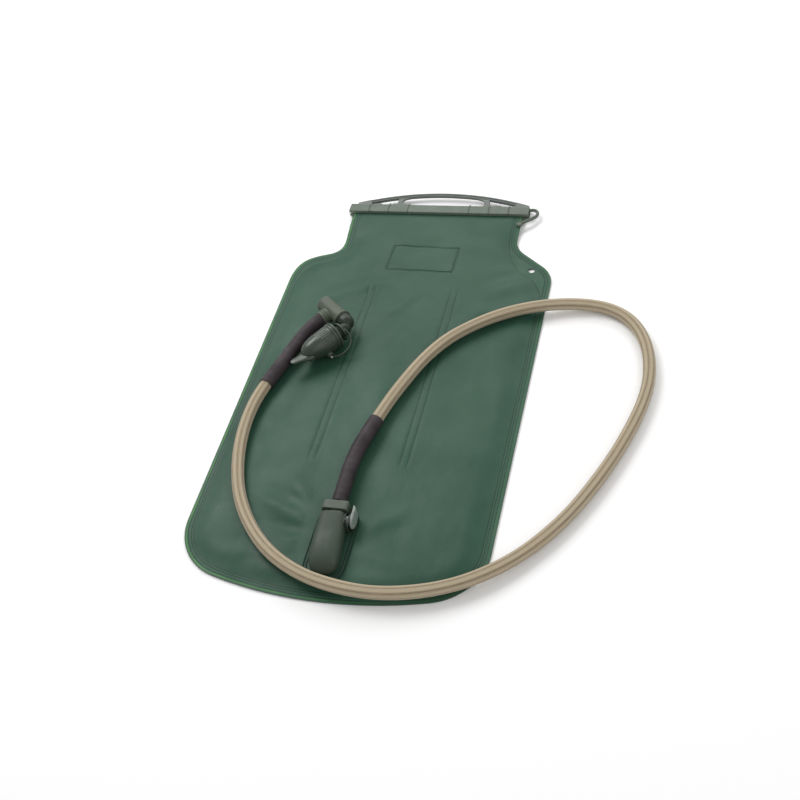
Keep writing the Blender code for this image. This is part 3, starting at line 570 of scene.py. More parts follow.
def tube(line, radius, sides=32, bore=None, bulge=None):
    """A round tube along a line, in millimetres, hollow if it has a bore. It carries how far round
    and along it each point is, for its weave."""
    n = len(line)
    tangents = [(line[min(i + 1, n - 1)] - line[max(i - 1, 0)]).normalized() for i in range(n)]
    side = tangents[0].cross(Z).normalized()
    gone, dist = 0.0, []
    for i in range(n):
        gone += (line[i] - line[i - 1]).length if i else 0.0
        dist.append(gone)
    bm = bmesh.new()
    around = bm.verts.layers.float.new("around")
    along = bm.verts.layers.float.new("along")
    skins = []
    for r_base, sign in ((radius, 1), (bore, -1)):
        if r_base is None:
            continue
        rows = []
        s = side.copy()
        for i in range(n):
            s = (s - tangents[i] * s.dot(tangents[i])).normalized()
            up = s.cross(tangents[i])
            row = []
            for k in range(sides + 1):
                angle = 2 * math.pi * k / sides
                r = r_base + (bulge(dist[i], angle) if bulge and sign > 0 else 0.0)
                if k == sides:
                    row.append(row[0])
                    continue
                vert = bm.verts.new((line[i] + (s * math.cos(angle) + up * math.sin(angle)) * r) * MM)
                vert[around] = abs(2.0 * k / sides - 1.0)
                vert[along] = dist[i] * MM
                row.append(vert)
            rows.append(row)
        skins.append(rows)
        for a, b in zip(rows, rows[1:]):
            for k in range(sides):
                bm.faces.new((a[k], a[k + 1], b[k + 1], b[k]))
    if bore is None:
        bm.faces.new(skins[0][0][:-1])
        bm.faces.new(skins[0][-1][:-1])
    else:
        for end in (0, -1):
            a, b = skins[0][end], skins[1][end]
            for k in range(sides):
                bm.faces.new((a[k], a[k + 1], b[k + 1], b[k]))
    return mesh_from(bm)


# ---- Hose ----
PORT_Y, PLUG_Z = -188.0, 12.5
VALVE_Z, VALVE_ANGLE = 16.4, math.radians(-39.0)
VALVE_END = Vector((-70.9, 59.4, VALVE_Z))
VALVE_ALONG = Vector((math.cos(VALVE_ANGLE), math.sin(VALVE_ANGLE), 0))
NOZZLE_ALONG = Vector((math.sin(VALVE_ANGLE), -math.cos(VALVE_ANGLE), 0))
HOSE_ROUTE = (
    (0.0, -146.4, 12.5), (0.0, -130.0, 12.5), (-0.3, -112.0, 12.8), (1.2, -92.0, 12.6),
    (6.3, -70.0, 12.0), (12.9, -42.0, 11.0), (20.8, -18.0, 10.4), (30.1, 6.0, 9.9),
    (44.4, 30.5, 9.4), (60.5, 47.0, 9.2), (80.8, 62.0, 9.2), (104.6, 73.5, 9.2),
    (124.0, 80.0, 8.4), (145.0, 84.0, 6.9), (166.2, 84.3, 5.7), (183.0, 78.5, 5.3),
    (197.0, 66.0, 5.3), (207.0, 48.0, 5.3), (212.6, 27.0, 5.3), (214.5, 5.0, 5.3),
    (212.3, -16.0, 5.3), (207.0, -40.0, 5.3), (197.0, -71.5, 5.3), (184.5, -102.0, 5.3),
    (169.5, -131.5, 5.3), (151.5, -157.5, 5.6), (131.0, -179.5, 6.6), (105.0, -198.5, 8.2),
    (76.0, -210.5, 9.2), (46.0, -216.2, 9.8), (17.0, -215.3, 10.2), (-13.0, -208.4, 10.2),
    (-41.0, -193.7, 9.6), (-63.0, -173.5, 9.0), (-81.0, -148.0, 9.0), (-93.0, -119.0, 9.0),
    (-100.0, -89.0, 9.0), (-101.4, -61.0, 9.3), (-99.4, -44.0, 9.8), (-95.8, -29.5, 10.0),
    (-91.2, -13.8, 10.4), (-85.4, 3.0, 11.8), (-80.8, 14.5, 13.8), (-76.4, 25.6, 15.8),
    (-71.89, 34.34, 16.4), (-63.9, 44.21, 16.4),
)
CUFF_LENGTH = 85.0


def make_hose():
    line = smooth_line(HOSE_ROUTE, 3.0, 10)
    total = length_of(line)

    def swell(dist, angle):
        return 0.10 * math.cos(15 * angle) + 0.05 * math.sin(dist * 0.11)

    sleeve = tube(line, 4.95, 60, 3.4, swell)
    hose = piece(
        "hose_sleeve_woven", sleeve, SLEEVE, "reservoir", ("tube_sleeve", "drinking_tube"), None
    )

    def wrinkled(seed):
        def bulge(dist, angle):
            end = min(dist, CUFF_LENGTH - dist)
            flare = 0.16 * math.exp(-((end - 0.8) / 0.9) ** 2)
            spot = Vector((dist * 0.16 + seed, math.cos(angle) * 1.1, math.sin(angle) * 1.1))
            ripple = math.sin(dist * 1.1 + 2 * noise.noise(spot * 0.5))
            return 0.16 * noise.noise(spot) + 0.05 * ripple + flare

        return bulge

    first = part_of(smooth_line(part_of(line, 0, CUFF_LENGTH + 8), 0.9), 0, CUFF_LENGTH)
    last = part_of(smooth_line(part_of(line, total - CUFF_LENGTH - 8, total), 0.9), 8, 8 + CUFF_LENGTH)
    cuffs = [
        piece("outlet_cuff_shrink", tube(first, 5.95, 40, 5.1, wrinkled(0.0)),
              CUFF, "reservoir", ("outlet_cuff",), None),
        piece("valve_cuff_shrink", tube(last, 5.95, 40, 5.1, wrinkled(40.0)),
              CUFF, "reservoir", ("valve_cuff",), None),
    ]
    return hose, line, total, cuffs


HOSE, HOSE_LINE, HOSE_LENGTH, CUFFS = make_hose()


# ---- Bag ----
HALF_LENGTH, HALF_WIDTH = 224.0, 120.0
NECK_HALF_WIDTH, NECK_BASE_Y, NECK_FILLET = 81.5, 167.0, 22.0
SHOULDER_Y, SHOULDER_RADIUS = 112.0, 28.0
LEFT_SHOULDER = (
    (-120.0, 88.0), (-120.0, 98.0), (-119.9, 106.0), (-118.9, 113.5), (-117.0, 120.0), (-113.8, 125.8),
    (-109.2, 130.4), (-102.6, 134.2), (-96.0, 136.8), (-90.0, 138.9), (-85.2, 141.7), (-82.0, 145.6),
    (-80.6, 150.5), (-80.2, 157.0), (-80.8, 168.0), (-81.3, 185.0), (-81.5, 202.3),
)
CORNER_RADIUS, BOTTOM_RADIUS = 48.0, 340.0
MOUTH_Y = 202.3
CLOSURE_Z = 4.0
FILM_THICK = 0.45
EYELET = (100.5, 128.0)
EYELET_HOLE, PORT_HOLE = 3.0, 6.8
STEP = 2.4


def bag_outline(inset=0.0, fine=STEP):
    """The bag's edge, or a line inset from it, counter-clockwise from the mouth's right end, as
    evenly spaced points."""
    neck_radius, shoulder_radius = NECK_FILLET + inset, SHOULDER_RADIUS - inset
    fillet = Vector((NECK_HALF_WIDTH + NECK_FILLET, NECK_BASE_Y))
    shoulder = Vector((HALF_WIDTH - SHOULDER_RADIUS, SHOULDER_Y))
    between = shoulder - fillet
    lean = math.acos((neck_radius + shoulder_radius) / between.length)
    turn = math.degrees(math.atan2(between.y, between.x) - lean) % 360
    centre_y = -HALF_LENGTH + BOTTOM_RADIUS
    corner_x = HALF_WIDTH - CORNER_RADIUS
    reach = BOTTOM_RADIUS - CORNER_RADIUS
    corner_y = centre_y - math.sqrt(reach**2 - corner_x**2)
    swing = math.degrees(math.asin(corner_x / reach))
    neck_x = NECK_HALF_WIDTH - inset
    right = [(neck_x, MOUTH_Y)]
    right += arc(fillet, neck_radius, 180, turn, 24)
    right += arc(shoulder, shoulder_radius, turn - 180, 0, 24)
    right += arc((corner_x, corner_y), CORNER_RADIUS - inset, 0, swing - 90, 24)
    right += arc((0, centre_y), BOTTOM_RADIUS - inset, swing - 90, -90, 24)[1:]
    left = [Vector((-x, y)) for x, y in reversed(right[:-1]) if y < LEFT_SHOULDER[0][1] - 3]
    bend = smooth_line([(x, y, 0) for x, y in LEFT_SHOULDER], 1.5, 2)
    for a, b, c in zip([bend[0], *bend], bend, [*bend[1:], bend[-1]]):
        ahead = (c - a).normalized()
        left.append(Vector((b.x + ahead.y * inset, b.y - ahead.x * inset)))
    points = [Vector(p) for p in right] + left
    return spaced(points, round(length_of(points) / fine))


EDGE_XY = np.array([tuple(p) for p in bag_outline(0.0, 1.0)])
EDGE_ALONG = np.concatenate([[0], np.cumsum(np.linalg.norm(np.diff(EDGE_XY, axis=0), axis=1))])


def from_edge(points):
    """Each point's distance from the welded edge, and how far along that edge it is. The mouth is
    open, so it has no weld."""
    best = np.full(len(points), 1e9)
    where = np.zeros(len(points))
    a, b = EDGE_XY[:-1], EDGE_XY[1:]
    d = b - a
    square = (d**2).sum(1)
    for start in range(0, len(points), 2000):
        p = points[start : start + 2000]
        rel = p[:, None, :] - a[None]
        t = np.clip((rel * d[None]).sum(2) / square, 0, 1)
        dist = np.linalg.norm(rel - t[..., None] * d[None], axis=2)
        k = dist.argmin(1)
        rows = np.arange(len(p))
        best[start : start + 2000] = dist[rows, k]
        where[start : start + 2000] = EDGE_ALONG[k] + t[rows, k] * np.sqrt(square[k])
    return best, where


def smoothstep(x, low, high):
    t = np.clip((x - low) / (high - low), 0, 1)
    return t * t * (3 - 2 * t)


def line_distance(points, a, b):
    """Distance of each point from a line segment, and the share along it."""
    a, b = np.array(a, float), np.array(b, float)
    d = b - a
    t = np.clip(((points - a) @ d) / (d @ d), 0, 1)
    return np.linalg.norm(points - (a + t[:, None] * d), axis=1), t


# The third layer carries painted shade for the pressed lines and dents.
WELD_LAYERS = ("inset_mm", "along_mm", "groove", "weld_in")
# Soft folds in the front film: from, to, width and height, in millimetres.
FOLDS = (
    ((-19, -158), (-74, -140), 6.0, 1.7), ((-19, -168), (-66, -163), 5.0, -1.0),
    ((-20, -178), (-72, -190), 6.0, 1.4), ((-18, -150), (-50, -118), 6.0, 1.2),
    ((20, -160), (52, -140), 7.0, 0.8), ((20, -178), (62, -190), 7.0, 0.8),
    ((0, -138), (4, -104), 9.0, 0.8), ((-104, -20), (-92, -120), 9.0, -0.6),
    ((-84, 76), (-24, 108), 9.0, 1.3), ((-60, 114), (20, 104), 8.0, -0.8),
    ((20, 160), (74, 150), 8.0, 0.9), ((-70, 160), (-20, 172), 9.0, -0.7),
    ((60, 92), (102, 112), 8.0, 0.9), ((-30, 152), (40, 178), 9.0, 0.8),
    ((90, 20), (112, -60), 8.0, 0.7), ((50, -60), (96, -90), 12.0, 0.9),
    ((-12, 20), (14, -60), 13.0, 1.0), ((-60, -30), (-74, -110), 10.0, -0.5),
    ((66, 130), (100, 150), 6.0, -0.6), ((-96, 128), (-70, 152), 7.0, 0.8),
    ((-20, 60), (10, 96), 7.0, 0.8), ((52, 40), (70, 84), 9.0, 0.9), ((-62, 10), (-50, 40), 8.0, 0.7),
)
BAFFLES = ((-40.6, -34.6), (34.6, 40.6))
BAFFLE_ENDS = (-100.0, 97.0)
BAFFLE_X, OVER_BAFFLE = 37.0, 2.95
LABEL = (-31.0, 119.0, 30.0, 151.0)
WELD_WIDTH = 7.2
# The front film's rise inside its weld, its pressed lines, and the room that it has under the
# pieces that lie on it and beside them
BULGE, PRESS_DEPTH = 2.35, 0.34
CLEAR_UNDER, CLEAR_MORE, CREST = 2.40, 1.5, 0.25


def label_sides():
    """The label's pressed outline, which wanders a little."""
    x0, y0, x1, y1 = LABEL
    corners = ((x0, y0 + 0.8), (x1, y0), (x1 + 0.6, y1 - 0.4), (x0 + 0.4, y1), (x0, y0 + 0.8))
    sides = []
    for (ax, ay), (bx, by) in zip(corners, corners[1:]):
        length = math.hypot(bx - ax, by - ay)
        nx, ny = (ay - by) / length, (bx - ax) / length
        count = round(length / 4)
        line = []
        for i in range(count + 1):
            t = i / count
            sway = 0.35 * math.sin(t * length * 0.21 + ax) * math.sin(math.pi * t)
            line.append((ax + (bx - ax) * t + nx * sway, ay + (by - ay) * t + ny * sway))
        sides.append(line)
    return sides


def welds(points):
    """How deep each point is in a pressed weld line, from 0 to 1."""
    depth = np.zeros(len(points))

    def press(a, b, width, strength=1.0):
        dist, t = line_distance(points, a, b)
        fade = np.minimum(1.0, np.minimum(t, 1 - t) * 14 + 0.35) if strength < 1 else 1.0
        np.maximum(depth, strength * fade * (1 - smoothstep(dist, width * 0.3, width)), out=depth)

    for pair in BAFFLES:
        for x in pair:
            press((x, BAFFLE_ENDS[0]), (x, BAFFLE_ENDS[1]), 0.85, 0.55)
    for side in label_sides():
        for a, b in zip(side, side[1:]):
            press(a, b, 0.55)
    return depth


def weld_edge(points, dist):
    """How far inside the inner edge of the perimeter's weld each point is, in millimetres. The
    weld is a narrow band that widens over the shoulders, round the eyelet."""
    x, y = np.abs(points[:, 0]), points[:, 1]
    corner = smoothstep(y, 96.0, 124.0) * (1 - smoothstep(y, 140.0, 166.0))
    right = np.where(points[:, 0] > 0, 1.0, 0.45)
    return dist - WELD_WIDTH - 13.0 * corner * right * smoothstep(x, 70.0, 92.0)


def film_points(extra):
    """Points over the bag: rings near its edge, a grid inside, and more along its weld lines."""
    points = []
    rings = (0.0, 0.7, 1.5, 2.2, 2.9, 4.3, 5.1, 5.9, 7.0, 8.6, 10.6, 13.0, 16.0, 19.5)
    edge_count = 0
    for inset in rings:
        ring = bag_outline(inset)
        points += [(p.x, min(p.y, MOUTH_Y - (0 if inset == 0 else 0.6))) for p in ring]
        edge_count = edge_count or len(ring)
    step = STEP * 1.1
    grid = np.array([
        (-HALF_WIDTH + i * step + 0.37 * (j % 2) * step, -HALF_LENGTH + j * step)
        for i in range(int(2 * HALF_WIDTH / step) + 1)
        for j in range(int((HALF_LENGTH + MOUTH_Y) / step) + 1)
    ])
    dist, _ = from_edge(grid)
    grid = grid[inside_outline(grid) & (dist > 21.0) & (grid[:, 1] < MOUTH_Y - 1.5)]
    lines = []
    for x, y0, y1 in extra:
        count = int((y1 - y0) / 2.0)
        for k in range(count + 1):
            y = y0 + (y1 - y0) * k / count
            lines += [(x + s, y) for s in (-0.9, -0.35, 0.0, 0.35, 0.9)]
    x0, y0, x1, y1 = LABEL
    for side in label_sides() if extra else ():
        for (ax, ay), (bx, by) in zip(side, side[1:]):
            length = math.hypot(bx - ax, by - ay)
            nx, ny = (ay - by) / length, (bx - ax) / length
            for i in range(3):
                x, y = ax + (bx - ax) * i / 3, ay + (by - ay) * i / 3
                lines += [(x + nx * o, y + ny * o) for o in (-0.6, -0.2, 0.2, 0.6)]
    keep = np.ones(len(grid), bool)
    if lines:
        lines = np.array(lines)
        for x in sorted({x for x, _, _ in extra}):
            keep &= ~((np.abs(grid[:, 0] - x) < 2.0) & (np.abs(grid[:, 1]) < 102))
        for x in (x0, x1):
            keep &= ~((np.abs(grid[:, 0] - x) < 1.8) & (grid[:, 1] > y0 - 2) & (grid[:, 1] < y1 + 2))
        for y in (y0, y1):
            keep &= ~((np.abs(grid[:, 1] - y) < 1.8) & (np.abs(grid[:, 0]) < x1 + 2))
        points += [tuple(p) for p in lines]
    points += [tuple(p) for p in grid[keep]]
    return points, edge_count


def inside_outline(points):
    """Whether each point is inside the bag's edge, by counting crossings."""
    result = np.zeros(len(points), bool)
    for (x0, y0), (x1, y1) in zip(EDGE_XY, np.roll(EDGE_XY, -1, axis=0)):
        if y0 == y1:
            continue
        cross = (points[:, 1] > min(y0, y1)) & (points[:, 1] <= max(y0, y1))
        at = x0 + (points[:, 1] - y0) * (x1 - x0) / (y1 - y0)
        result ^= cross & (points[:, 0] < at)
    return result


def neck_share(y):
    return smoothstep(y, 150.0, 190.0)


def rolling(points, scale, seed):
    return np.array([noise.noise(Vector((x * scale, y * scale, seed))) for x, y in points])


def headroom(points):
    """1 where nothing lies on the film, 0 under the hose, the outlet, the valve and the closure."""
    lying = [Vector(p).xy for p in HOSE_ROUTE]
    lying += [(VALVE_END + VALVE_ALONG * 20).xy, (VALVE_END + VALVE_ALONG * 40 + NOZZLE_ALONG * 60).xy]
    lying += [(VALVE_END + VALVE_ALONG * 44).xy]
    near = np.full(len(points), 1e9)
    for a, b in zip(lying, lying[1:]):
        near = np.minimum(near, line_distance(points, a, b)[0])
    near = np.minimum(near, line_distance(points, (0, -215), (0, -140))[0] - 14.0)
    near = np.minimum(near, line_distance(points, tuple(lying[-1]), tuple(lying[-2]))[0] - 6.0)
    near = np.minimum(near, (188.0 - points[:, 1]) + 8.0)
    return smoothstep(near, 10.0, 22.0)


def film_height(points, dist, front):
    """The middle height of a film over the floor, in millimetres."""
    lift = neck_share(points[:, 1]) * (CLOSURE_Z - 0.15 - FILM_THICK)
    if not front:
        return lift + FILM_THICK / 2
    flat = 1 - neck_share(points[:, 1])
    rise = BULGE * smoothstep(dist, 6.0, 23.0)
    inner = smoothstep(dist, 5.5, 12.0)
    wave = np.zeros(len(points))
    for a, b, width, height in FOLDS:
        away, t = line_distance(points, a, b)
        fade = np.sin(np.clip(t, 0.02, 0.98) * math.pi) ** 0.6
        profile = np.exp(-((away / width) ** 2)) - 0.35 * np.exp(-(((away - 1.7 * width) / width) ** 2))
        wave += height * profile * fade
    soft = 0.75 * rolling(points, 0.014, 3.0) + 0.32 * rolling(points, 0.04, 9.0)
    wave = (wave + soft) * inner * (0.35 + 0.65 * flat)
    press = welds(points)
    wave = wave * (1 - 0.4 * press) - PRESS_DEPTH * press
    step_in = weld_edge(points, dist)
    wave = wave - 0.07 * np.exp(-((step_in / 0.9) ** 2)) * (dist > 5.0)
    rim = -0.10 * (1 - smoothstep(np.abs(dist - 3.6), 1.0, 1.6))
    rim = rim - 0.05 * np.exp(-(((dist - 6.4) / 0.7) ** 2))
    laid = FILM_THICK * 1.5 + 0.3 + lift
    height = laid + rise * flat + wave + rim
    aside = np.minimum(np.abs(np.abs(points[:, 0]) - BAFFLE_X), 9.0)
    near = (1 - smoothstep(aside, 4.2, 8.0)) * (np.abs(points[:, 1] + 1.5) < 101)
    lifted = height * (1 - near) + np.maximum(height, OVER_BAFFLE) * near
    height = np.where(near > 0, np.maximum(height, lifted), height)
    ceiling = laid + CLEAR_UNDER + CLEAR_MORE * headroom(points)
    over = height - ceiling
    return np.where(over > 0, ceiling + CREST * np.tanh(over / CREST) * 0.6, height)


def make_film(name, front, material, node):
    """One film sheet: a plan cut along its weld lines, lifted to its height and thickened."""
    extra = [(x, *BAFFLE_ENDS) for pair in BAFFLES for x in pair] if front else []
    points, edge_count = film_points(extra)
    holes = [(EYELET, EYELET_HOLE)] + ([((0.0, PORT_Y), PORT_HOLE)] if front else [])
    rings = []
    for (cx, cy), radius in holes:
        points = [p for p in points if math.hypot(p[0] - cx, p[1] - cy) > radius + 0.9]
        start = len(points)
        points += arc((cx, cy), radius, 0, 345, 24)
        rings.append(list(range(start, start + 24)))
    edges = [(i, (i + 1) % edge_count) for i in range(edge_count)]
    for ring in rings:
        edges += zip(ring, ring[1:] + ring[:1])
    verts, _, faces, _, _, _ = delaunay_2d_cdt([Vector(p) for p in points], edges, [], 0, 1e-4, False)
    xy = np.array([tuple(v) for v in verts])
    dist, where = from_edge(xy)
    z = film_height(xy, dist, front)
    bm = bmesh.new()
    layers = [bm.verts.layers.float.new(layer) for layer in WELD_LAYERS]
    press = welds(xy) if front else np.zeros(len(xy))
    made = []
    for (x, y), height, *values in zip(xy, z, dist, where, press, weld_edge(xy, dist)):
        vert = bm.verts.new((x * MM, y * MM, height * MM))
        for layer, value in zip(layers, values):
            vert[layer] = value
        made.append(vert)
    middles = np.array([xy[list(f)].mean(0) for f in faces])
    inside = inside_outline(middles)
    for (cx, cy), radius in holes:
        inside &= np.hypot(middles[:, 0] - cx, middles[:, 1] - cy) > radius * 0.98
    for face, keep in zip(faces, inside):
        if keep:
            bm.faces.new([made[i] for i in face])
    loose = [v for v in bm.verts if not v.link_faces]
    bmesh.ops.delete(bm, geom=loose, context="VERTS")
    bm.normal_update()
    if sum(f.normal.z for f in bm.faces) < 0:
        bmesh.ops.reverse_faces(bm, faces=bm.faces)
    mesh = bpy.data.meshes.new(name)
    bm.to_mesh(mesh)
    bm.free()
    holder = added(name, mesh)
    thick = holder.modifiers.new("thickness", "SOLIDIFY")
    thick.thickness = FILM_THICK * MM
    thick.offset = 0.0
    return piece(name, evaluated(holder), material, "reservoir", (node,), 50.0)


FRONT = make_film("front_film_sheet", True, FILM, "front_film")
BACK = make_film("back_film_sheet", False, FILM_BACK, "back_film")


# ---- Outlet ----
PATCH_TOP = 4.5
TOOTH_STEPS = 4


def make_patch():
    """The reinforcing patch: a pressed outline, a toothed weld and a raised middle, with painted shade in its
    pressed rings and in the dents of its teeth.
    """
    half, low, high = 16.9, -24.0, 46.0
    # Painted shade: how dark each pressed ring is painted. The tooth dents get painted shade too, in proportion
    # to their depth.
    shade_at = {1: 0.4, 2: 0.7, 3: 1.0, 4: 0.6, 8: 0.8, 9: 1.0, 10: 0.7}
    insets = (0.0, 0.25, 0.7, 1.1, 1.5, 1.9, 2.3, 2.7, 3.1, 3.5, 3.9, 4.4, 5.0, 6.5)
    heights = (-0.35, -0.05, -0.1, -0.4, 0.0, 0.0, 0.0, 0.0, 0.0, -0.4, 0.02, 0.05, 0.05, 0.05)
    toothed = {4: 0.5, 5: 1.0, 6: 1.0, 7: 1.0, 8: 0.5}
    count = 480
    rings = []
    for k, (inset, height) in enumerate(zip(insets, heights)):
        shape = [Vector(p) for p in stadium(half - inset, low + inset, high - inset, 90)]
        shape.append(shape[0])
        ring = []
        for i, p in enumerate(spaced(shape, count)[:count]):
            tooth = toothed.get(k, 0.0) * -0.22 * (0.5 + 0.5 * math.sin(2 * math.pi * i / TOOTH_STEPS))
            ring.append((p.x + 1.0, p.y + PORT_Y, PATCH_TOP + height + tooth))
        rings.append(ring)
    bottom = [[(x, y, PATCH_TOP - 0.6) for x, y, _ in rings[0]]]
    mesh = loft(bottom + rings)
    for name in WELD_LAYERS:
        layer = mesh.attributes.new(name, "FLOAT", "POINT")
        for i in range(len(mesh.vertices)):
            k, step = divmod(i, count)
            tooth = toothed.get(k - 1, 0.0) * (0.5 + 0.5 * math.sin(2 * math.pi * step / TOOTH_STEPS))
            layer.data[i].value = max(shade_at.get(k - 1, 0.0), 0.8 * tooth) if name == "groove" else 9.0
    piece("port_patch_welded", mesh, PATCH, "reservoir", ("port_patch",), 45.0)


def super_ring(centre, right, up, a, b, power, count=56):
    points = []
    for k in range(count):
        angle = 2 * math.pi * k / count
        c, s = math.cos(angle), math.sin(angle)
        x = a * math.copysign(abs(c) ** (2 / power), c)
        y = b * math.copysign(abs(s) ** (2 / power), s)
        points.append(centre + right * x + up * y)
    return points


def make_housing():
    """The outlet's shell: a smooth body that widens from its mouth and rounds over at its toe."""
    turn = math.radians(5.0)
    forward = Vector((-math.sin(turn), math.cos(turn), 0))
    right = Vector((math.cos(turn), math.sin(turn), 0))
    floor = 4.8
    rings = []
    for t, half, top, power in (
        (31.5, 8.9, 18.6, 3.2), (31.3, 9.5, 19.2, 3.3), (30.6, 9.8, 19.7, 3.4), (28, 10.1, 20.0, 3.3),
        (22, 10.6, 20.3, 3.2), (14, 11.1, 20.5, 3.0), (6, 11.5, 20.5, 2.9), (0, 11.7, 20.2, 2.8),
        (-5, 11.7, 19.6, 2.8), (-9, 11.4, 18.6, 2.7), (-12, 10.8, 17.2, 2.7), (-14.5, 9.7, 15.2, 2.6),
        (-16.4, 8.0, 12.9, 2.5), (-17.6, 5.8, 10.9, 2.4), (-18.2, 3.0, 9.4, 2.2),
    ):
        low = floor if t > -9 else floor + (-9 - t) * 0.28
        height = (top - low) / 2
        centre = Vector((1.9, PORT_Y, low + height)) + forward * t
        rings.append(super_ring(centre, right, Z, half, height, power))
    holder = added("outlet_shell", loft(rings))
    sub = holder.modifiers.new("smooth", "SUBSURF")
    sub.levels = sub.render_levels = 1
    shell = evaluated(holder)
    piece("outlet_shell", shell, HOUSING, "reservoir", ("outlet_housing",), None)


def make_collar():
    """The band at the outlet's mouth, with a small step in its left end."""
    half = 10.2
    outline = arc((half - 2.2, 4.9), 2.2, 0, 90, 7) + arc((-half + 2.6, 4.7), 2.2, 90, 180, 7)
    outline += [(-half, 3.4), (-half, -5.0)]
    outline += arc((-half + 1.2, -6.2), 1.2, 180, 270, 5) + arc((half - 1.2, -6.2), 1.2, 270, 360, 5)
    outline = [(x, -y) for x, y in outline]
    bore = arc((0, 0), 5.95, 0, 352.5, 48)
    middle = axes((0, PORT_Y + 36.7, PLUG_Z), X, Y)
    band = plate([outline, bore], 7.9, middle, 0.55)
    lip = [(x * 1.02, y * 1.025) for x, y in outline]
    back = axes((0, PORT_Y + 33.6, PLUG_Z), X, Y)
    ridge = plate([lip, bore], 1.3, back, 0.35)
    piece("outlet_collar_band", merged(band, ridge), COLLAR, "reservoir",
          ("outlet_collar",), 35.0)


def make_button():
    """The curved thumb button with its skirt, which move, and the neck, which stays."""
    place = Vector((0, PORT_Y + 28.0, PLUG_Z))
    stations = (
        (14.2, 7.4, 5.2), (14.4, 8.4, 6.0), (14.8, 9.0, 6.5), (15.3, 9.2, 6.6), (15.9, 9.0, 6.5),
        (16.3, 8.1, 5.9), (16.5, 6.2, 4.6), (16.55, 3.4, 2.6),
    )
    rings = []
    for x, along, tall in stations:
        ring = super_ring(place + Vector((x, 3.0, 0)), Y, Z, along, tall, 2.5, 48)
        bowed = []
        for p in ring:
            reach = (p.y - place.y - 3.0) / 9.2
            curl = 2.4 * max(0.0, reach) ** 3 + 0.4 * max(0.0, -reach) ** 2.2
            bowed.append(p - Vector((curl, 0, 0)))
        rings.append(bowed)
    shell = loft(rings)
    across = axes(place, Y, X)
    stem = lathe(((0, 15.0), (3.15, 15.0), (3.15, 8.6), (0, 8.6)), across, 32)
    piece("thumb_button", merged(shell, stem), BUTTON, "button",
          ("release_button",), 50.0)

    centre = place + Vector((0, -2.4, 0))

    def collars(start, stop, half, tall, hollow, middle=centre):
        rings, x = [], start
        while x < stop:
            for step, inset in ((0.0, 0.5), (0.12, 0.05), (0.5, 0.0), (0.62, 0.5)):
                size = (half - inset, tall - inset)
                rings.append(super_ring(centre + X * (x + step), Y, Z, *size, 3.4, 48))
            x += 0.9
        for at in (x - 0.3, start):
            rings.append(super_ring(middle + X * at, Y, Z, *hollow, 3.4, 48))
        rings.append(rings[0])
        return loft(rings, False)

    neck = collars(8.95, 10.5, 7.0, 5.6, (4.75, 4.75), place)
    piece("button_neck", neck, ELBOW, "reservoir", ("button_guide",), 30.0)
    skirt = collars(12.8, 13.8, 7.2, 6.0, (6.7, 5.6))
    piece("button_skirt", skirt, ELBOW, "button", (), 30.0)


PATCH = film_look("patch_film", (0.018, 0.06, 0.038), (0.034, 0.09, 0.06), (0.05, 0.12, 0.08))
make_patch()
make_housing()
make_collar()
make_button()


# ---- Closure clip ----
CLIP_X, CLIP_HALF = 0.3, 86.7
CLIP_FRONT_Y, CLIP_BACK_Y, CLIP_LOW_Z, CLIP_HIGH_Z = 194.4, 205.4, 0.2, 7.8
GUSSETS = (29.4, 48.4, 67.2)
ARCH_X, ARCH_SPAN, ARCH_END_Y, ARCH_BAND = 3.0, 83.0, 208.0, 3.8


def arch_y(x, inset=0.0):
    rise = HALF_LENGTH - ARCH_END_Y
    radius = (ARCH_SPAN**2 + rise**2) / (2 * rise)
    return HALF_LENGTH - radius + math.sqrt((radius - inset) ** 2 - x**2)


def make_bar():
    """The clip's bar: a C-shaped channel with rounded corners, and the lines of its six claws."""
    y0, y1, z0, z1, mid = CLIP_FRONT_Y, CLIP_BACK_Y, CLIP_LOW_Z, CLIP_HIGH_Z, CLOSURE_Z
    wall, slot, channel, r = 1.4, 1.0, 2.4, 1.6
    outer = arc((y0 + 0.9, z1 - 0.9), 0.9, 180, 90, 6) + arc((y1 - r, z1 - r), r, 90, 0, 8)
    outer += arc((y1 - r, z0 + r), r, 0, -90, 8) + arc((y0 + 0.9, z0 + 0.9), 0.9, -90, -180, 6)
    inner = [
        (y0, mid - slot), (y0 + wall, mid - slot), (y0 + wall, mid - channel), (y1 - wall, mid - channel),
        (y1 - wall, mid + channel), (y0 + wall, mid + channel), (y0 + wall, mid + slot), (y0, mid + slot),
    ]
    section = outer + inner
    centre = Vector(((y0 + y1) / 2, mid))
    cuts = sorted(s * g + 0.7 for s in (-1, 1) for g in GUSSETS)
    stations = [(-CLIP_HALF, 0.8), (-CLIP_HALF + 0.25, 0.35), (-CLIP_HALF + 0.8, 0.0)]
    for x in cuts:
        stations += [(x - 0.75, 0.0), (x - 0.45, 0.45), (x + 0.45, 0.45), (x + 0.75, 0.0)]
    stations += [(-x, i) for x, i in reversed(stations[:3])]
    rings = []
    for x, inset in stations:
        ring = []
        for k, (y, z) in enumerate(section):
            p = Vector((y, z))
            if k < len(outer) and inset:
                away = centre - p
                p = p + Vector([math.copysign(min(inset, abs(c) * 0.3), c) for c in away])
            ring.append((x + CLIP_X, p.x, p.y))
        rings.append(ring)
    bar = loft(rings)
    stop = axes((CLIP_X + CLIP_HALF - 1.5, (y0 + y1) / 2, mid), Y, X)
    square = [(-2.3, -2.3), (2.3, -2.3), (2.3, 2.3), (-2.3, 2.3)]
    end = plate([square], 1.6, stop, 0.2)
    return merged(bar, end)


def under_arch(x0, x1, low, inset, points):
    xs = [x0 + (x1 - x0) * i / (points - 1) for i in range(points)]
    return [(x1, low), *[(x, arch_y(x, inset)) for x in reversed(xs)], (x0, low)]


def soften(outline, radius):
    closed = rounded([*outline, outline[0], outline[1]], radius, 5)
    return closed[1:-1]


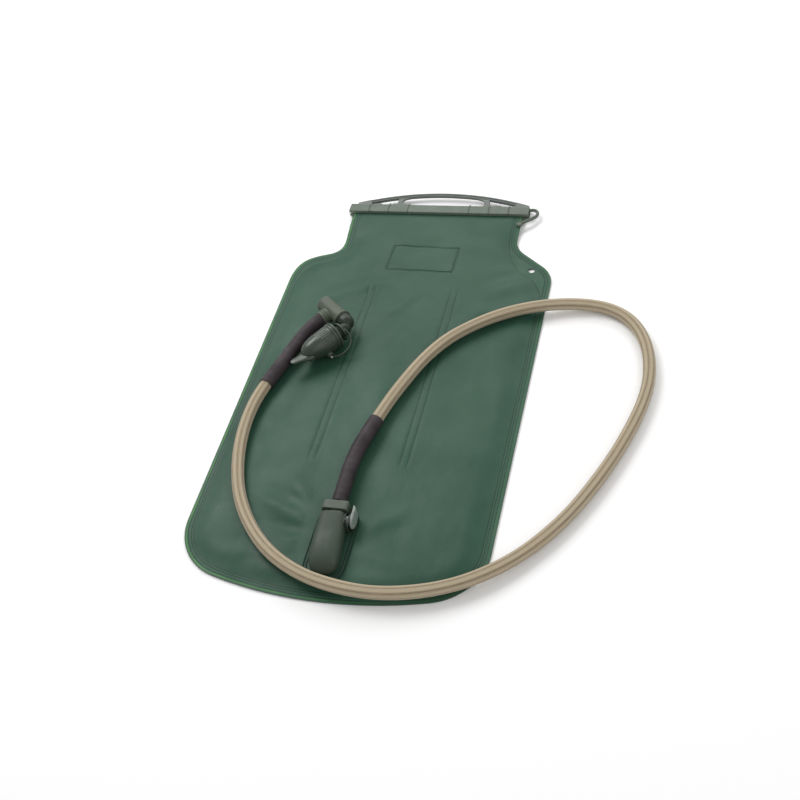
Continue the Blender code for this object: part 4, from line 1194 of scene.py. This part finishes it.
def make_handle():
    """The arched handle: a thin double rim, struts beside the hand hole, and shelves with knuckles."""
    flat = axes((ARCH_X, 0, CLOSURE_Z + 0.4), X, Z)
    foot, span = CLIP_BACK_Y - 0.5, ARCH_SPAN
    xs = [-span + 2 * span * i / 60 for i in range(61)]
    rims = []
    for offset, width, thick in ((0.0, 1.6, 3.8), (1.9, 1.5, 3.0)):
        a = [(x, arch_y(x, offset)) for x in xs]
        b = [(x, max(foot, arch_y(x, offset + width))) for x, _ in reversed(a)]
        rims.append(plate([soften(a + b, 0.3)], thick, flat, 0.45))
    web = [soften(under_arch(-span + 3, span - 1.5, foot, 1.0, 41), 0.6)]
    low = foot + 0.5
    radius = (arch_y(40, ARCH_BAND) - low) / 2
    ends = 40 - radius
    top = [(ends * (1 - i / 10), arch_y(ends * (1 - i / 10), ARCH_BAND)) for i in range(1, 20)]
    round_end, other_end = (ends, low + radius), (-ends, low + radius)
    web.append(arc(round_end, radius, -90, 80, 12) + top + arc(other_end, radius, 100, 270, 12))
    for side in (-1, 1):
        x0, x1 = sorted(side * x for x in (44.5, 69.0))
        web.append(soften(under_arch(x0, x1, foot + 1.3, ARCH_BAND - 0.5, 9), 0.4))
    panel = plate(web, 1.9, flat, 0.4)
    ends = []
    for side in (-1, 1):
        x0, x1 = sorted((side * span, side * (span - 13)))
        block = under_arch(x0, x1, foot, 0.2, 7)
        ends.append(plate([soften(block, 0.8)], 5.0, flat, 0.6))
    tabs = []
    for x in (s * g for s in (-1, 1) for g in GUSSETS):
        tall = 2.2 if abs(x) > 30 else 1.9
        base, tip = foot - 0.4, foot + tall
        outline = [(x - 3.0, base), (x - 1.7, base), (x - 1.8, tip), (x - 2.9, tip)]
        tabs.append(plate([soften(outline, 0.4)], 6.0, flat, 0.4))
        if abs(x) > 30:
            top = foot + 2.6
            knuckle = [(x - 1.0, base), (x + 9.0, base), (x + 8.0, top), (x + 0.4, top)]
            tabs.append(plate([soften(knuckle, 1.2)], 4.4, flat, 0.5))
    return merged(*rims, panel, *ends, *tabs)


def tilted(mesh):
    """The clip sits a little askew on the bag's mouth."""
    pivot = Matrix.Translation(Vector((0, 200.0, 0)) * MM)
    mesh.transform(pivot @ Matrix.Rotation(math.radians(0.8), 4, "Z") @ pivot.inverted())
    return mesh


def make_leash():
    start = CLIP_X + CLIP_HALF + 0.1
    path = (
        (start + 1.6, 204.6, 5.2), (start + 5.0, 204.8, 4.9), (start + 7.6, 201.8, 4.6),
        (start + 7.4, 197.6, 4.7), (start + 4.6, 193.4, 5.2), (88.2, 189.8, 5.8),
        (85.0, 187.2, 6.0), (83.0, 185.6, 6.0),
    )
    line = smooth_line([(start - 1.5, 204.0, 5.2), *path], 0.8, 4)
    leash = piece("leash_loop", tube(line, 1.5, 20), CLIP, None, ("leash",), None)
    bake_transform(leash)
    up = axes((80.6, 183.9, 0), X, Z)
    stud = rounded(((0, 6.9), (2.2, 6.85), (2.9, 6.3), (2.95, 4.9), (2.4, 4.6), (0, 4.6)), 0.5)
    piece("leash_button", lathe(stud, up, 40), CLIP, "reservoir", ("leash_stud",), 50.0)


piece("clip_bar", tilted(make_bar()), CLIP, "closure", ("slide_clip",), 35.0)
piece("clip_handle", tilted(make_handle()), ARCH, "closure", (), 35.0)
make_leash()


# ---- Bite valve ----
BARREL = axes(VALVE_END, NOZZLE_ALONG, VALVE_ALONG)
NOZZLE = 40.0
ENTRY = axes(VALVE_END + VALVE_ALONG * 15.0, VALVE_ALONG, NOZZLE_ALONG)
CORNER = axes(VALVE_END + VALVE_ALONG * NOZZLE, VALVE_ALONG, NOZZLE_ALONG)


def make_valve():
    shell = rounded(
        ((0, 0), (5.6, 0), (7.2, 0.9), (7.5, 2.4), (7.4, 3.4), (7.3, 4.2), (7.25, 26.6), (7.1, 27.0),
         (7.9, 27.3), (8.0, 28.8), (7.6, 29.0), (4.7, 29.0), (4.7, 5.0), (0, 5.0)), 0.4
    )
    barrel = lathe(shell, BARREL, 56)
    neck = rounded(
        ((2.2, 5.5), (6.6, 5.5), (6.9, 8.0), (6.2, 8.6), (6.2, 9.2), (6.8, 9.5), (6.9, 10.4), (6.2, 10.8),
         (6.2, 11.4), (6.6, 11.7), (6.6, 12.8), (6.2, 13.4), (2.2, 13.4)), 0.3
    )
    neck = lathe(neck, ENTRY, 48)
    piece("shutoff_barrel", merged(barrel, neck), VALVE, "reservoir",
          ("valve_barrel",), 40.0)
    knuckle = [(0, 29.3), (7.5, 29.35), (7.7, 30.3), (7.1, 30.8), (6.9, 31.6), (6.9, 33.6)]
    for i in range(9):
        a = math.radians(10 * i)
        knuckle.append((6.9 * math.cos(a) ** 0.9, 33.8 + 7.6 * math.sin(a)))
    knuckle.append((0, 41.4))
    elbow = lathe(rounded(knuckle, 0.3), BARREL, 56)
    spout = rounded(
        ((0, 28.0), (4.0, 27.5), (4.0, 15.3), (6.4, 15.1), (7.3, 14.2), (7.3, 13.2), (6.4, 12.4), (6.1, 9.0),
         (5.2, 4.0), (3.4, 1.0), (0, 0.6)), 0.5
    )
    spout = lathe(spout, CORNER, 56)
    stem = lathe(((0, 31.0), (4.25, 31.0), (4.25, 8.0), (0, 8.0)), BARREL, 32)
    piece("turning_elbow", merged(elbow, spout, stem), ELBOW, "mouthpiece",
          ("mouthpiece_elbow",), 40.0)
    sheath = rounded(
        ((4.5, 15.8), (7.3, 15.8), (7.3, 21.6), (6.2, 26.5), (5.7, 32.0), (4.7, 36.6), (3.2, 38.0), (1.2, 37.7),
         (1.2, 36.4), (3.2, 33.0), (4.4, 28.0), (4.4, 16.0)), 0.5
    )
    piece("silicone_mouthpiece", lathe(sheath, CORNER, 48), SILICONE, "mouthpiece",
          ("bite_sheath",), 45.0)


def make_cap():
    """The soft cover: a thick double lip, fine flutes that fade towards a smooth nose, and a tab."""
    cup = [
        (0, 45.6), (3.0, 44.6), (6.6, 41.0), (8.4, 34.0), (9.6, 24.0), (9.7, 15.6), (10.6, 15.2),
        (11.8, 15.3), (12.3, 16.0), (12.1, 16.8), (11.3, 17.2), (11.3, 17.8), (12.0, 18.2), (12.1, 19.0),
        (11.7, 19.7), (11.3, 20.2),
    ]
    steps = 26
    wall = [(20.6, 11.2), (24, 11.15), (28, 11.0), (32, 10.75), (36, 10.2), (39, 9.6), (42, 8.8),
            (44.5, 7.8), (46.5, 6.6), (48.1, 5.2), (49.2, 3.6), (49.8, 1.9)]
    heights, radii = zip(*wall)
    for i in range(steps + 1):
        h = heights[0] + (50.2 - heights[0]) * i / steps
        cup.append((float(np.interp(h, heights, radii)), h))
    cup.append((0, 50.45))

    def flutes(angle, radius, height):
        outer = radius > 9.72 or height > 45.7
        if not outer or height < 20.4 or height > 44:
            return radius
        fade = min(1.0, (height - 20.4) / 2.0) * max(0.0, min(1.0, (36.0 - height) / 7.0))
        return radius - 0.24 * fade * (0.5 + 0.5 * math.cos(36 * angle)) ** 2

    body = lathe(cup, CORNER, 216, flutes)
    rings = []
    for h, half, thick, drop, shift in (
        (41.0, 6.6, 4.6, -1.0, 1.4), (43.6, 7.0, 4.2, -1.2, 1.8), (46.6, 6.6, 3.6, -1.2, 2.0),
        (49.4, 5.6, 2.2, -0.2, 2.0), (52.0, 4.6, 1.4, 0.2, 1.6), (55.0, 3.8, 1.2, 0.4, 1.0),
        (58.4, 3.3, 1.1, 0.6, 0.5), (60.6, 2.6, 1.0, 0.7, 0.3), (61.6, 1.4, 0.7, 0.7, 0.2),
    ):
        centre = CORNER @ Vector((0, 0, h * MM)) / MM + Z * drop + VALVE_ALONG * shift
        rings.append(super_ring(centre, VALVE_ALONG, Z, half, thick, 2.6, 28))
    tab = loft(rings)
    reach = Vector((0, 0, -5.6))
    outward = (VALVE_ALONG * 9.6 + reach).normalized()
    base = CORNER @ Vector((0, 0, 29.6 * MM)) / MM
    side = axes(base, NOZZLE_ALONG, outward)
    lug = rounded(((0, 13.6), (2.6, 13.4), (3.0, 12.6), (3.0, 10.2), (0, 10.2)), 0.5)
    lug = lathe(lug, side, 28)
    pin = rounded(((0, 15.4), (0.8, 15.2), (1.2, 14.4), (1.2, 12.0), (0, 12.0)), 0.3)
    pin = lathe(pin, side, 20)
    piece("cap_pin", pin, SILICONE, "cap", (), 45.0)
    piece("soft_cap", merged(body, tab, lug), CAP, "cap", ("dust_cap",), 45.0)

    origin = VALVE_END + VALVE_ALONG * NOZZLE

    def at(points):
        return [origin + VALVE_ALONG * s + NOZZLE_ALONG * n + Vector((0, 0, w)) for s, n, w in points]

    hoop = [(7.7 * math.cos(a), 9.4 + 0.9 * math.sin(a * 0.5), 7.7 * math.sin(a))
            for a in [math.radians(15 * i) for i in range(25)]]
    ring = tube(at(hoop), 0.85, 14)
    piece("strap_ring", ring, CAP, "mouthpiece", (), None)
    strap = smooth_line(at((
        (5.4, 8.6, 5.6), (9.4, 7.6, 3.2), (13.6, 8.6, 0.4), (16.8, 12.4, -2.4), (17.8, 17.8, -4.8),
        (16.6, 23.6, -6.6), (13.6, 28.0, -7.0), (11.4, 30.2, -6.4),
    )), 0.8, 3)
    mesh = tube(strap, 0.85, 16)
    strap = piece("keeper_strap", mesh, CAP, None, ("cap_strap",), None)
    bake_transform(strap)


make_valve()
make_cap()

# ---- Finishes on the CAD pieces that stay ----
KEPT = {
    "hose_plug": CLIP, "plug_seal": RUBBER, "latch_plate": STEEL, "button_spring": STEEL,
    "check_poppet": CLIP, "poppet_seal": RUBBER, "poppet_spring": STEEL, "port_gasket": RUBBER,
    "port_backing_ring": CLIP, "baffle_left": BAFFLE, "baffle_right": BAFFLE,
    "front_rail": CLIP, "back_rail": CLIP, "core_seal_inner": RUBBER, "core_seal_outer": RUBBER,
}
for name, material in KEPT.items():
    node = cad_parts[name]
    node.data.materials.clear()
    node.data.materials.append(material)
